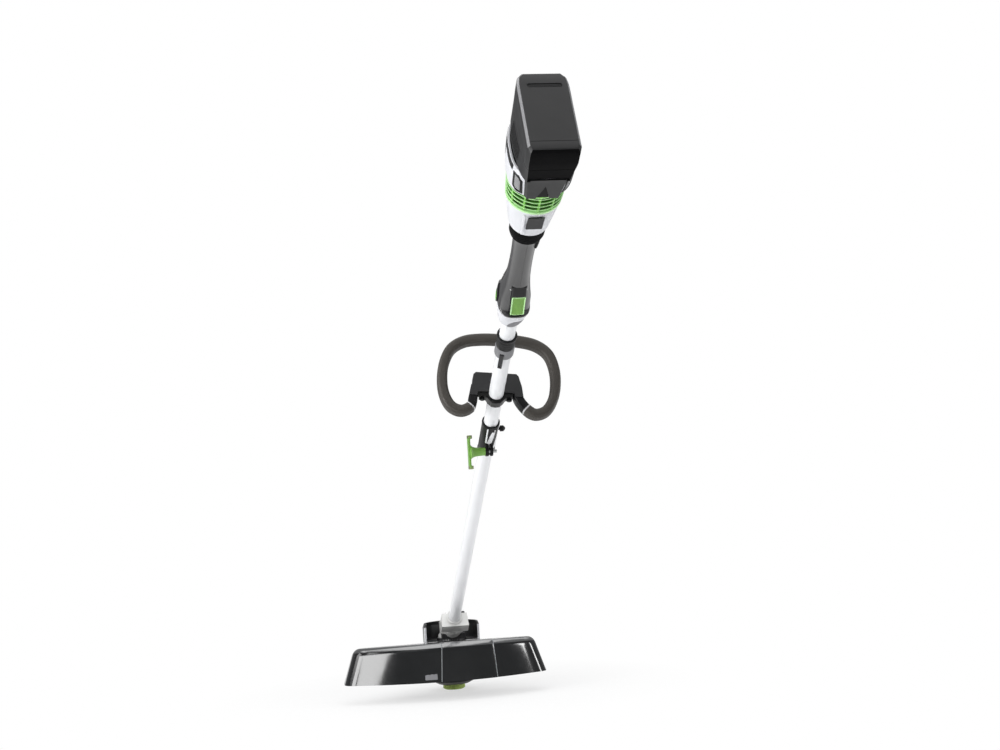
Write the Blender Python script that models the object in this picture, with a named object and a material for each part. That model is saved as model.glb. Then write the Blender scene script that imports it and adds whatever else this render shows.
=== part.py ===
"""Cordless string trimmer with a loop handle and a clamped attachment shaft.

Sizes are in millimetres and turned to metres when a mesh is made. The origin is the centre of the bump
knob's flat foot, +Z runs up the spool axis, +Y points forward from the battery to the head, and +X is the
user's right. The shaft leans back over the user, so its pieces are modelled about their own Z axis, which
runs up the shaft from the point where it crosses the spool axis, with Y on the shaft's upper side.
"""

import math

import bmesh
import bpy
from mathutils import Matrix, Vector

MM = 0.001
GAP = 0.3
RUNNING = 0.5

SHAFT_TILT = 28.5
AXIS_HEIGHT = 121.0

TUBE_R = 12.7
TUBE_WALL = 1.6
DRIVE_R = 4.0
LINER_WALL = 2.0

CASE_REACH = 96.0
TUBE_SEAT = 30.0
LOWER_TUBE_SHOWN = 722.0
COUPLER_LENGTH = 105.0
LOWER_INSERT = 76.0
UPPER_TUBE_SHOWN = 294.0
NOSE_LENGTH = 45.0
GRIP_LENGTH = 172.0
COLLAR_LENGTH = 28.0
CONE_LENGTH = 60.0
RING_LENGTH = 44.0
HOUSING_LENGTH = 51.0
PACK_DEPTH = 71.0

Z_CASE_MOUTH = CASE_REACH
Z_COUPLER = Z_CASE_MOUTH + LOWER_TUBE_SHOWN
Z_COUPLER_TOP = Z_COUPLER + COUPLER_LENGTH
Z_NOSE = Z_COUPLER_TOP + UPPER_TUBE_SHOWN
Z_GRIP = Z_NOSE + NOSE_LENGTH
Z_COLLAR = Z_GRIP + GRIP_LENGTH
Z_CONE = Z_COLLAR + COLLAR_LENGTH
Z_RING = Z_CONE + CONE_LENGTH
Z_BODY = Z_RING + RING_LENGTH
Z_DOCK = Z_BODY + HOUSING_LENGTH
Z_PACK = Z_DOCK + GAP
Z_LABEL = Z_PACK + PACK_DEPTH

CASTING_WALL = 4.0
CASE_R = 26.0
CASE_TOP = 38.0
CASE_BASE_R = 32.0
CASE_BASE_T = 9.0
CASE_BASE_DROP = 5.0
CLAMP_WIDTH = 60.0
CLAMP_LENGTH = 38.0
CLAMP_BOLT_R = 2.5

MODULE = 2.0
PINION_TEETH = 12
GEAR_TEETH = 17
FACE_WIDTH = 9.0
BACKLASH = 0.35
PRESSURE_ANGLE = 22.0
OUTPUT_R = 5.0
BEARING_WALL = 5.0
BEARING_T = 6.0

KNOB_R = 24.5
KNOB_FOOT_R = 20.0
KNOB_T = 12.5
KNOB_NECK_R = 19.0
KNOB_TRAVEL = 8.0
SPOOL_CASE_R = 55.0
SPOOL_WALL = 2.6
COVER_BOTTOM = 12.0
COVER_SPLIT = 42.0
SPOOL_ROOF = 84.0
HEAD_HUB_R = 8.5
SPOOL_R = 45.0
SPOOL_CORE_R = 23.0
SPOOL_BOTTOM = 24.0
SPOOL_HEIGHT = 32.0
SPOOL_FLANGE = 2.5
LINE_R = 1.2
LINE_GAP = 0.5
LINE_LOOPS = 6
SWATH_R = 185.0
EYELET_HEIGHT = 49.0
EYELET_R = 4.6
SPRING_WIRE_R = 0.9
SPRING_R = 13.0
SPRING_TURNS = 4

GUARD_WALL = 3.0
GUARD_REAR = 200.0
GUARD_DEPTH = 80.0
GUARD_BOTTOM = AXIS_HEIGHT - GUARD_DEPTH
GUARD_CORNER = 26.0
GUARD_SLOPE = 4.4
GUARD_LEFT = 228.0
GUARD_RIGHT = 168.0
GUARD_FLARE = 22.0
GUARD_REAR_FLARE = 6.0
GUARD_SAG = 62.0
GUARD_HUB_R = 48.0
GUARD_BLOCK_HALF = 56.0
GUARD_BLOCK_X = 12.0
GUARD_BLOCK_RISE = 1.2
GUARD_BLOCK_PROUD = 2.0
GUARD_HOLE_R = 20.0
BRACKET_R = 64.0
BRACKET_WALL = 4.0
BRACKET_HEIGHT = 42.0
GUARD_SCREW_RING = 26.5
GUARD_SCREW_R = 2.5
CUTTER_LENGTH = 34.0
CUTTER_X = 86.0
CUTTER_SEAT = 1.2

COUPLER_R = 17.5
COUPLER_SLIT = 3.0
COUPLER_SLIT_LENGTH = 56.0
EAR_DROP = 31.5
EAR_WIDTH = 7.0
EAR_LENGTH = 26.0
KNOB_STATION = 32.0
KNOB_DROP = 24.5
STUD_R = 3.0
WING_SPAN = 60.0
WING_OUT = 38.0
WING_T = 7.0
WING_DEPTH = 13.0
WING_TURN = -61.5
STEM_R = 7.5
BUTTON_STATION = 68.0
BUTTON_R = 5.5
BUTTON_OUT = 7.0
BUTTON_TRAVEL = 3.0
PIN_HOLE_R = 3.2

LOOP_STATION = 176.0
LOOP_LEAN = 10.0
LOOP_TWIST = 7.0
LOOP_SHIFT = 5.0
SADDLE_SHIFT = 2.5
BAND_T = 17.5
BAND_W = 24.0
CORE_T = 10.0
CORE_W = 16.0
ARM_T = 15.5
ARM_W = 23.0
CUFF_GAP = 0.8
ARM_OVERLAP = 5.0
SADDLE_W = 26.0
SADDLE_TOP = 37.0
SADDLE_HALF_TOP = 35.0
SADDLE_HALF_LOW = 40.0
CLAMP_WALL = 4.5
LOOP_BOLT_R = 2.5
LOOP_BOLT_X = 23.0

STRAP_STATION = 306.0
STRAP_LENGTH = 52.0
STRAP_R = 16.0
TAB_LENGTH = 20.0

SHELL_WALL = 2.5
TRIGGER_LENGTH = 54.0
TRIGGER_HALF = 11.0
TRIGGER_PIVOT_DROP = 17.5
CONTROL_PIN_R = 2.0
LEVER_LENGTH = 42.0
LEVER_MIDDLE = 17.0
LEVER_RISE = 20.0
LEVER_FALL = 14.0
LIP_DROP = 33.0

MOTOR_BORE_R = 32.5
STATOR_LENGTH = 27.0
STATOR_BORE_R = 17.0
ROTOR_R = 16.2
FAN_R = 27.0
FAN_BLADES = 9
PLATE_T = 4.0

COVER_HALF_LOW = 25.0
COVER_HALF_HIGH = 30.0
COVER_T = 2.4

VENT_ROWS = 3
VENT_COLUMNS = 10
VENT_RIB = 5.0
VENT_TURN = 46.0
VENT_PROUD = 0.8

PACK_DOCK = ((26, 69), (33, 61), (37.5, 48), (41, 15), (41, -10), (38, -35), (36.5, -46), (33, -56), (29.5, -62))
PACK_FACE = ((27, 72), (34, 64), (36, 50), (36, 15), (36, -10), (36, -35), (36, -46), (36, -60), (33, -70))
PACK_TOP = 72.0
PACK_BOTTOM = 70.0
PACK_CHEEK = 46.0
PACK_WALL = 2.8
PACK_SPLIT = 30.0
RAIL_HALF = 24.0
RAIL_LIP = 4.0
RAIL_T = 3.2
RAIL_RISE = 7.0
RAIL_LENGTH = 96.0
LATCH_HALF = 11.0
LATCH_TRAVEL = 5.0
CELL_R = 9.2
CELL_LENGTH = 65.0
CELL_ROWS = 4

LIGHT_GREY = (0.78, 0.79, 0.80)
DARK_GREY = (0.045, 0.045, 0.047)
WARM_GREY = (0.075, 0.070, 0.065)
BLACK = (0.012, 0.012, 0.013)
GREEN = (0.27, 0.62, 0.10)
KNOB_GREEN = (0.16, 0.36, 0.06)
LIME = (0.26, 0.36, 0.08)
SILVER = (0.66, 0.66, 0.66)
STEEL = (0.45, 0.45, 0.46)
BRASS = (0.62, 0.42, 0.16)
COPPER = (0.60, 0.26, 0.12)
NYLON = (0.80, 0.80, 0.76)
BLUE = (0.05, 0.14, 0.34)

TAN = math.tan(math.radians(SHAFT_TILT))


def clear_scene():
    for old in list(bpy.data.objects):
        bpy.data.objects.remove(old, do_unlink=True)


def material(name, colour, roughness=0.5, metallic=0.0):
    made = bpy.data.materials.new(name)
    made.use_nodes = True
    shader = made.node_tree.nodes["Principled BSDF"]
    shader.inputs["Base Color"].default_value = (*colour, 1.0)
    shader.inputs["Roughness"].default_value = roughness
    shader.inputs["Metallic"].default_value = metallic
    made.diffuse_color = (*colour, 1.0)
    return made


def empty(name, parent=None, location=(0, 0, 0), rotation=(0, 0, 0)):
    made = bpy.data.objects.new(name, None)
    bpy.context.scene.collection.objects.link(made)
    made.parent = parent
    made.location = [c * MM for c in location]
    made.rotation_euler = [math.radians(a) for a in rotation]
    return made


def piece(name, shape, skin, parent=None, smooth=35):
    """One named object from (points, faces) in millimetres, with its faces turned outward."""
    points, faces = shape
    mesh = bpy.data.meshes.new(name)
    mesh.from_pydata([[c * MM for c in p] for p in points], [], faces)
    turn = bmesh.new()
    turn.from_mesh(mesh)
    bmesh.ops.recalc_face_normals(turn, faces=turn.faces)
    turn.to_mesh(mesh)
    turn.free()
    mesh.shade_smooth()
    mesh.set_sharp_from_angle(angle=math.radians(smooth))
    mesh.materials.append(skin)
    made = bpy.data.objects.new(name, mesh)
    bpy.context.scene.collection.objects.link(made)
    made.parent = parent
    return made


def boolean(obj, shape, operation):
    """A hidden helper that is cut from the object or joined to it."""
    helper = piece(f"{obj.name}_{operation.lower()}_{len(obj.modifiers)}", shape, obj.data.materials[0], obj.parent)
    helper.hide_render = True
    helper.hide_viewport = False
    helper.display_type = "WIRE"
    step = obj.modifiers.new(operation.title(), "BOOLEAN")
    step.operation = operation
    step.solver = "EXACT"
    step.object = helper


def cut(obj, *shapes):
    for shape in shapes:
        boolean(obj, shape, "DIFFERENCE")


def join(obj, *shapes):
    for shape in shapes:
        boolean(obj, shape, "UNION")


def trim(obj, *shapes):
    for shape in shapes:
        boolean(obj, shape, "INTERSECT")


def together(*shapes):
    """Several separate bodies in one mesh."""
    points, faces = [], []
    for more_points, more_faces in shapes:
        start = len(points)
        points += list(more_points)
        faces += [[i + start for i in face] for face in more_faces]
    return points, faces


def moved(shape, matrix):
    return [tuple(matrix @ Vector(p)) for p in shape[0]], shape[1]


def shifted(shape, x=0, y=0, z=0):
    return moved(shape, Matrix.Translation((x, y, z)))


def turned(shape, angle, axis):
    return moved(shape, Matrix.Rotation(math.radians(angle), 4, axis))


def circle(radius, z=0.0, count=24, x=0.0, y=0.0):
    return [
        (x + radius * math.cos(math.tau * i / count), y + radius * math.sin(math.tau * i / count), z)
        for i in range(count)
    ]


def loft(loops, closed=False):
    """Skins loops of equal count. An open stack gets flat ends, a closed one joins its last loop to its first."""
    count = len(loops[0])
    points = [p for loop in loops for p in loop]
    faces = []
    pairs = len(loops) if closed else len(loops) - 1
    for k in range(pairs):
        a, b = k * count, (k + 1) % len(loops) * count
        for i in range(count):
            j = (i + 1) % count
            faces.append([a + i, a + j, b + j, b + i])
    if not closed:
        faces.append(list(range(count)))
        faces.append([len(points) - count + i for i in range(count)])
    return points, faces


def revolve(profile, count=24):
    """A solid of revolution about Z from (radius, height) points. Radius 0 ends close it on the axis."""
    points, rings = [], []
    for radius, z in profile:
        if radius == 0:
            rings.append([len(points)])
            points.append((0, 0, z))
        else:
            rings.append(list(range(len(points), len(points) + count)))
            points += circle(radius, z, count)
    faces = []
    on_axis = len(rings[0]) == 1 and len(rings[-1]) == 1
    pairs = len(rings) - 1 if on_axis else len(rings)
    for k in range(pairs):
        a, b = rings[k], rings[(k + 1) % len(rings)]
        for i in range(count):
            j = (i + 1) % count
            quad = [a[i % len(a)], a[j % len(a)], b[j % len(b)], b[i % len(b)]]
            faces.append(list(dict.fromkeys(quad)))
    return points, faces


def rod(radius, low, high, count=16, chamfer=0.0):
    return revolve(
        [(0, low), (radius - chamfer, low), (radius, low + chamfer), (radius, high - chamfer),
         (radius - chamfer, high), (0, high)] if chamfer else [(0, low), (radius, low), (radius, high), (0, high)],
        count,
    )


def pipe(outer, inner, low, high, count=24):
    return revolve([(outer, low), (outer, high), (inner, high), (inner, low)], count)


def prism(outline, low, high):
    return loft([[(x, y, low) for x, y in outline], [(x, y, high) for x, y in outline]])


def box(x0, x1, y0, y1, z0, z1):
    return prism([(x0, y0), (x1, y0), (x1, y1), (x0, y1)], z0, z1)


def side_plate(outline, half, centre=0.0):
    """An outline in (z, y) pushed out along X both ways."""
    return loft([[(centre + s * half, y, z) for z, y in outline] for s in (-1, 1)])


def bevelled_plate(outline, half, bevel, centre=0.0):
    """A side plate whose two outer edges are drawn in towards the outline's middle."""
    mid_z = sum(z for z, y in outline) / len(outline)
    mid_y = sum(y for z, y in outline) / len(outline)

    def drawn_in(z, y):
        reach = math.hypot(z - mid_z, y - mid_y)
        share = max(reach - bevel, 0.1) / reach
        return mid_z + (z - mid_z) * share, mid_y + (y - mid_y) * share

    small = [drawn_in(z, y) for z, y in outline]
    stack = [(-half, small), (-half + bevel, outline), (half - bevel, outline), (half, small)]
    return loft([[(centre + x, y, z) for z, y in loop] for x, loop in stack])


def rounded(half_x, half_y, radius, steps=3, x=0.0, y=0.0):
    """A rectangle outline with round corners."""
    outline = []
    for corner, (sx, sy) in enumerate(((1, 1), (-1, 1), (-1, -1), (1, -1))):
        for i in range(steps + 1):
            angle = math.radians(90 * corner + 90 * i / steps)
            outline.append((
                x + sx * (half_x - radius) + radius * math.cos(angle),
                y + sy * (half_y - radius) + radius * math.sin(angle),
            ))
    return outline


def oval_point(angle, half, top, bottom, power):
    """A point of a superellipse whose top and bottom reach differ."""
    c, s = math.cos(angle), math.sin(angle)
    reach = top if s > 0 else bottom
    return (
        half * math.copysign(abs(c) ** (2 / power), c),
        reach * math.copysign(abs(s) ** (2 / power), s),
    )


def oval(z, half, top, bottom, power=2.0, count=24):
    return [(*oval_point(math.tau * i / count, half, top, bottom, power), z) for i in range(count)]


def half_shell(stations, side, wall, count=12):
    """One half of a split shell. Stations are (z, half width, top, bottom, power)."""
    loops = []
    for z, half, top, bottom, power in stations:
        outer, inner = [], []
        for i in range(count + 1):
            angle = math.pi * (i / count - 0.5)
            x, y = oval_point(angle, half, top, bottom, power)
            u, v = oval_point(angle, half - wall, top - wall, bottom - wall, power)
            outer.append((side * max(x, GAP / 2), y, z))
            inner.append((side * max(u, GAP / 2), v, z))
        loops.append(outer + inner[::-1])
    return loft(loops)


def ring_loft(stations, bore, count=24):
    """A lofted sleeve with a round bore. Stations are (z, half width, top, bottom, power)."""
    loops = [oval(z, half, top, bottom, power, count) for z, half, top, bottom, power in stations]
    loops.append(circle(bore, stations[-1][0], count))
    loops.append(circle(bore, stations[0][0], count))
    return loft(loops, closed=True)


def smooth_path(points, steps):
    """A Catmull-Rom curve through the points."""
    ends = [points[0] * 2 - points[1], *points, points[-1] * 2 - points[-2]]
    path = []
    for a, b, c, d in zip(ends, ends[1:], ends[2:], ends[3:]):
        for i in range(steps):
            t = i / steps
            path.append(
                (b * 2 + (c - a) * t + (a * 2 - b * 5 + c * 4 - d) * t**2 + (b * 3 - a - c * 3 + d) * t**3) * 0.5
            )
    return path + [points[-1]]


def band_loops(path, outline):
    """The outline's (in plane, across) points carried along a path that lies in the XY plane."""
    loops = []
    for i, here in enumerate(path):
        ahead = path[min(i + 1, len(path) - 1)] - path[max(i - 1, 0)]
        normal = Vector((-ahead.y, ahead.x, 0)).normalized()
        loops.append([tuple(here + normal * u + Vector((0, 0, w))) for u, w in outline])
    return loops


def hollow_band(path, outer, inner):
    outside, inside = band_loops(path, outer), band_loops(path, inner)
    return loft(outside + inside[::-1], closed=True)


def wire(points, radius, sides=8):
    """A round wire through the points, its ring kept level with Z so that it doesn't twist."""
    path = [Vector(p) for p in points]
    loops = []
    for i, here in enumerate(path):
        ahead = (path[min(i + 1, len(path) - 1)] - path[max(i - 1, 0)]).normalized()
        out = ahead.cross(Vector((0, 0, 1))).normalized()
        up = out.cross(ahead)
        ring = [math.tau * k / sides for k in range(sides)]
        loops.append([tuple(here + (out * math.cos(a) + up * math.sin(a)) * radius) for a in ring])
    return loft(loops)


def least_gap(points, radius, apart):
    """The least clear distance between turns, leaving out neighbours closer than apart along the wire."""
    return min(
        (Vector(points[i]) - Vector(points[j])).length - 2 * radius
        for i in range(len(points))
        for j in range(i + apart, len(points))
    )


class Skins:
    """The materials, one for each finish."""

    def __init__(self):
        self.painted_tube = material("painted_tube", LIGHT_GREY, 0.35)
        self.light_plastic = material("light_plastic", LIGHT_GREY, 0.45)
        self.dark_plastic = material("dark_plastic", DARK_GREY, 0.5)
        self.black_plastic = material("black_plastic", BLACK, 0.3)
        self.soft_grip = material("soft_grip", WARM_GREY, 0.75)
        self.green_plastic = material("green_plastic", GREEN, 0.4)
        self.knob_plastic = material("knob_plastic", KNOB_GREEN, 0.45)
        self.lime_plastic = material("lime_plastic", LIME, 0.5)
        self.cast_aluminium = material("cast_aluminium", SILVER, 0.45, 0.9)
        self.steel = material("steel", STEEL, 0.3, 1.0)
        self.brass = material("brass", BRASS, 0.3, 1.0)
        self.copper = material("copper", COPPER, 0.4, 0.8)
        self.nylon = material("nylon", NYLON, 0.5)
        self.line = material("line", GREEN, 0.4)
        self.cell_wrap = material("cell_wrap", BLUE, 0.4)


# The shaft: tubes, liners and the drive inside them


def tubes(skins, shaft):
    bore = TUBE_R - TUBE_WALL
    low = Z_CASE_MOUTH - TUBE_SEAT
    joint = Z_COUPLER + LOWER_INSERT
    lower = piece("lower_tube", pipe(TUBE_R, bore, low, joint), skins.painted_tube, shaft)
    hole = turned(rod(PIN_HOLE_R, 0, TUBE_R + GAP, 12), 90, "Y")
    cut(lower, shifted(hole, z=Z_COUPLER + BUTTON_STATION))
    end = Z_CONE + COLLAR_LENGTH
    piece("upper_tube", pipe(TUBE_R, bore, joint + 3, end), skins.painted_tube, shaft)
    outer = bore - GAP
    inner = outer - LINER_WALL
    for name, start, stop in (
        ("lower_liner", low, joint - SOCKET_LENGTH),
        ("upper_liner", joint + SOCKET_LENGTH, end),
    ):
        bush = DRIVE_R + RUNNING
        profile = [(outer, start), (outer, stop), (bush, stop), (bush, stop - 30), (inner, stop - 34),
                   (inner, start + 34), (bush, start + 30), (bush, start)]
        piece(name, revolve(profile, 12), skins.nylon, shaft)


SOCKET_R = 7.5
SOCKET_LENGTH = 24.0
SQUARE_HALF = 2.7


def drive_shafts(skins, shaft):
    """The upper shaft carries a square socket that the lower shaft's squared end slides into."""
    joint = Z_COUPLER + LOWER_INSERT
    mouth = joint - SOCKET_LENGTH / 2
    floor = mouth + SOCKET_LENGTH
    motor_end = Z_BODY + 16
    upper = piece(
        "upper_drive_shaft",
        revolve([(0, mouth), (SOCKET_R, mouth), (SOCKET_R, floor), (DRIVE_R, floor + 3), (DRIVE_R, motor_end),
                 (0, motor_end)], 16),
        skins.steel, shaft,
    )
    slot = SQUARE_HALF + GAP
    cut(upper, box(-slot, slot, -slot, slot, mouth - 1, mouth + SOCKET_LENGTH * 0.7))
    low = PINION_FRONT + FACE_WIDTH / 2
    square = mouth + SOCKET_LENGTH * 0.6
    stack = [circle(DRIVE_R, low, 16), circle(DRIVE_R, mouth - 5, 16)]
    flat = []
    for i in range(16):
        angle = math.tau * i / 16
        reach = SQUARE_HALF / max(abs(math.cos(angle)), abs(math.sin(angle)))
        flat.append((reach * math.cos(angle), reach * math.sin(angle)))
    stack += [[(x, y, mouth - 2) for x, y in flat], [(x, y, square) for x, y in flat]]
    piece("lower_drive_shaft", loft(stack), skins.steel, shaft)


# The gear head: casting, base, bevel gears, bearings and output shaft

RATIO = GEAR_TEETH / PINION_TEETH
SHAFT_ANGLE = math.radians(90 - SHAFT_TILT)
PINION_CONE = math.atan2(math.sin(SHAFT_ANGLE), RATIO + math.cos(SHAFT_ANGLE))
GEAR_CONE = SHAFT_ANGLE - PINION_CONE
CONE_LENGTH_GEARS = MODULE * PINION_TEETH / 2 / math.sin(PINION_CONE)
SMALL_END = CONE_LENGTH_GEARS - FACE_WIDTH
PINION_FRONT = SMALL_END * math.cos(PINION_CONE) - 1.5
PINION_BACK = CONE_LENGTH_GEARS * math.cos(PINION_CONE) + 3.0
GEAR_FRONT = SMALL_END * math.cos(GEAR_CONE) - 1.5
GEAR_BACK = CONE_LENGTH_GEARS * math.cos(GEAR_CONE) + 3.0
CAVITY_R = CONE_LENGTH_GEARS * math.sin(GEAR_CONE + MODULE / CONE_LENGTH_GEARS) + 1.5
PINION_CAVITY_R = CONE_LENGTH_GEARS * math.sin(PINION_CONE + MODULE / CONE_LENGTH_GEARS) + 1.5


def bevel_gear(teeth, cone, bore, front, back, phase):
    """A straight bevel gear about Z with its apex at the origin. Phase 0 puts a tooth at angle zero."""
    addendum = 0.9 * MODULE
    dedendum = 1.25 * MODULE
    lean = math.tan(math.radians(PRESSURE_ANGLE))
    at_pitch = math.pi * MODULE / 4 - BACKLASH
    flanks = ((at_pitch + dedendum * lean, -dedendum), (at_pitch - addendum * lean, addendum))
    pitch_r = MODULE * teeth / 2

    def tooth_loop(distance):
        loop = []
        for k in range(teeth):
            middle = math.tau * (k + phase) / teeth
            (wide, root), (narrow, tip) = flanks
            for offset, height in ((-wide, root), (-narrow, tip), (narrow, tip), (wide, root)):
                angle = middle + offset / pitch_r
                slope = cone + height / CONE_LENGTH_GEARS
                radius = distance * math.sin(slope)
                loop.append((radius * math.cos(angle), radius * math.sin(angle), distance * math.cos(slope)))
        return loop

    def ring_like(loop, radius, z):
        ring = []
        for x, y, _ in loop:
            size = math.hypot(x, y)
            ring.append((x / size * radius, y / size * radius, z))
        return ring

    large, small = tooth_loop(CONE_LENGTH_GEARS), tooth_loop(SMALL_END)
    root_large = CONE_LENGTH_GEARS * math.sin(cone - dedendum / CONE_LENGTH_GEARS)
    root_small = SMALL_END * math.sin(cone - dedendum / CONE_LENGTH_GEARS)
    return loft(
        [ring_like(large, bore, back), ring_like(large, root_large - 1, back), large, small,
         ring_like(small, root_small - 0.6, front), ring_like(small, bore, front)],
        closed=True,
    )


def gear_head(skins, head, shaft, twin):
    """The casting is one body: a dome over the gears, a socket for the tube and a split clamp block."""
    dome_top = AXIS_HEIGHT + CASE_TOP
    base_top = AXIS_HEIGHT - CASE_BASE_DROP
    dome = revolve(
        [(0, base_top), (CASE_BASE_R - 2, base_top), (CASE_BASE_R - 2, base_top + 5), (CASE_R, base_top + 10),
         (CASE_R, dome_top - 9), (CASE_R - 5, dome_top - 2), (CASE_R - 12, dome_top), (0, dome_top)], 24)
    to_shaft = Matrix.Translation((0, 0, AXIS_HEIGHT)) @ Matrix.Rotation(math.radians(90 - SHAFT_TILT), 4, "X")
    case = piece("gear_case", dome, skins.cast_aluminium, head)
    socket_r = TUBE_R + CASTING_WALL
    neck = revolve(
        [(0, 2), (CASE_R - 4, 2), (CASE_R - 5, CASE_REACH - CLAMP_LENGTH - 12), (socket_r, CASE_REACH - CLAMP_LENGTH),
         (socket_r, CASE_REACH), (0, CASE_REACH)], 24)
    half = CLAMP_WIDTH / 2
    low_y, high_y = -(TUBE_R + 9.0), TUBE_R * 0.55
    start, stop = CASE_REACH - CLAMP_LENGTH + 1.5, CASE_REACH - 3
    block = loft([
        [(-half + 3, low_y + 2, start), (half - 3, low_y + 2, start), (half - 5, high_y - 0.5, start),
         (-half + 5, high_y - 0.5, start)],
        [(-half, low_y, start + 4), (half, low_y, start + 4), (half - 2, high_y + 2, start + 4), (-half + 2, high_y + 2, start + 4)],
        [(-half, low_y, stop), (half, low_y, stop), (half - 2, high_y + 2, stop), (-half + 2, high_y + 2, stop)],
    ])
    ear_x = TUBE_R + CASTING_WALL + 4.5
    mid_z = (start + stop) / 2
    boss = shifted(turned(rod(5.5, high_y - 3, high_y + 7, 16), -90, "X"), x=ear_x, z=mid_z)
    tab = box(-ear_x - 3.3, -ear_x + 3.7, high_y - 3, high_y + 6, stop - 22, stop - 1.3)
    join(case, moved(turned(neck, 7.5, "Z"), to_shaft), moved(block, to_shaft), moved(boss, to_shaft), moved(tab, to_shaft))
    cavity = revolve([(0, base_top - 1), (CAVITY_R, base_top - 1), (CAVITY_R, AXIS_HEIGHT + GEAR_BACK + 1),
                      (OUTPUT_R + BEARING_WALL + GAP, AXIS_HEIGHT + GEAR_BACK + 1),
                      (OUTPUT_R + BEARING_WALL + GAP, dome_top - 3), (0, dome_top - 3)], 24)
    bearing_z = PINION_BACK + 1
    pinion_hole = revolve(
        [(0, 0), (PINION_CAVITY_R, 0), (PINION_CAVITY_R, bearing_z), (DRIVE_R + BEARING_WALL + GAP, bearing_z),
         (DRIVE_R + BEARING_WALL + GAP, bearing_z + BEARING_T + GAP), (DRIVE_R + 2, bearing_z + BEARING_T + GAP),
         (DRIVE_R + 2, Z_CASE_MOUTH - TUBE_SEAT - GAP), (TUBE_R + GAP, Z_CASE_MOUTH - TUBE_SEAT - GAP),
         (TUBE_R + GAP, CASE_REACH + 1), (0, CASE_REACH + 1)], 24)
    slit = box(-1, 1, 3, TUBE_R + 12, start + 2.7, CASE_REACH + 1)
    bolt_hole = turned(rod(CLAMP_BOLT_R + GAP, low_y - 1, high_y + 8, 12), -90, "X")
    under = box(-70, 70, -120, 70, 60, base_top)
    cut(case, under, cavity, moved(pinion_hole, to_shaft), moved(slit, to_shaft),
        moved(shifted(bolt_hole, x=ear_x, z=mid_z), to_shaft))
    head_z = high_y + 7 + GAP
    bolt = revolve([(0, low_y + 2), (CLAMP_BOLT_R, low_y + 2), (CLAMP_BOLT_R, head_z), (4.4, head_z),
                    (4.4, head_z + 4.5), (0, head_z + 4.5)], 12)
    piece("clamp_bolt", shifted(turned(bolt, -90, "X"), x=ear_x, z=mid_z), skins.steel, shaft)

    ring = pipe(OUTPUT_R + BEARING_WALL, OUTPUT_R + GAP, 0, BEARING_T, 12)
    pinion_ring = pipe(DRIVE_R + BEARING_WALL, DRIVE_R + GAP, 0, BEARING_T, 12)
    piece("output_bearing", shifted(ring, z=dome_top - 3 - BEARING_T - GAP), skins.steel, head)
    piece("pinion_bearing", moved(shifted(pinion_ring, z=bearing_z + GAP / 2), to_shaft), skins.steel, head)
    gear = bevel_gear(GEAR_TEETH, GEAR_CONE, OUTPUT_R - 1, GEAR_FRONT, GEAR_BACK, 0.5)
    output = piece("output_gear", shifted(turned(gear, -90, "Z"), z=AXIS_HEIGHT), skins.steel, head, 20)
    join(output, rod(OUTPUT_R, SPOOL_ROOF - 16, dome_top - 4, 24))
    pinion = bevel_gear(PINION_TEETH, PINION_CONE, DRIVE_R + GAP, PINION_FRONT, PINION_BACK, 0.0)
    piece("bevel_pinion", turned(pinion, 90, "Z"), skins.steel, twin, 20)


# The guard: a sloping plate with a deep skirt round its rear and ends


def guard_top(y):
    return AXIS_HEIGHT - CASE_BASE_DROP - 2 * GAP - CASE_BASE_T - y * math.tan(math.radians(GUARD_SLOPE))


def guard_rear(x, spread, inset):
    """How far back the guard's curved rear wall lies at a place across it."""
    centre = (GUARD_RIGHT - GUARD_LEFT) / 2
    half = (GUARD_RIGHT + GUARD_LEFT) / 2 + GUARD_FLARE * spread - inset
    return -(GUARD_REAR + GUARD_REAR_FLARE * spread - inset) + GUARD_SAG * ((x - centre) / (half - 5)) ** 2


def guard_outline(inset, spread):
    """The plan outline, from the right wing round the rear to the left wing and back over the hub."""
    centre = (GUARD_RIGHT - GUARD_LEFT) / 2
    reach = (GUARD_RIGHT + GUARD_LEFT) / 2 + GUARD_FLARE * spread - inset
    turn = max(GUARD_CORNER - inset, 6)
    wing_y = -(GUARD_REAR + GUARD_REAR_FLARE * spread - inset) + GUARD_SAG + 48
    corner = guard_rear(centre + reach - turn * 0.5, spread, inset)
    start = Vector((reach, corner + turn))
    knee = Vector((reach, corner))
    end = Vector((reach - turn, guard_rear(centre + reach - turn, spread, inset)))
    round_corner = []
    for i in range(5):
        share = i / 4
        round_corner.append(start * (1 - share) ** 2 + knee * 2 * share * (1 - share) + end * share**2)
    steps = 12
    rear = [centre + (reach - turn) * (1 - 2 * i / steps) for i in range(1, steps)]
    outline = [(centre + p.x, p.y) for p in round_corner]
    outline += [(x, guard_rear(x, spread, inset)) for x in rear]
    outline += [(centre - p.x, p.y) for p in reversed(round_corner)]
    outline.append((centre - reach + inset * 0.4, wing_y - inset * 0.6))
    hub = GUARD_HUB_R - inset
    for i in range(9):
        angle = math.radians(205 - 230 * i / 8)
        outline.append((hub * math.cos(angle), hub * math.sin(angle)))
    outline.append((centre + reach - inset * 0.4, wing_y - inset * 0.6))
    return outline


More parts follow.
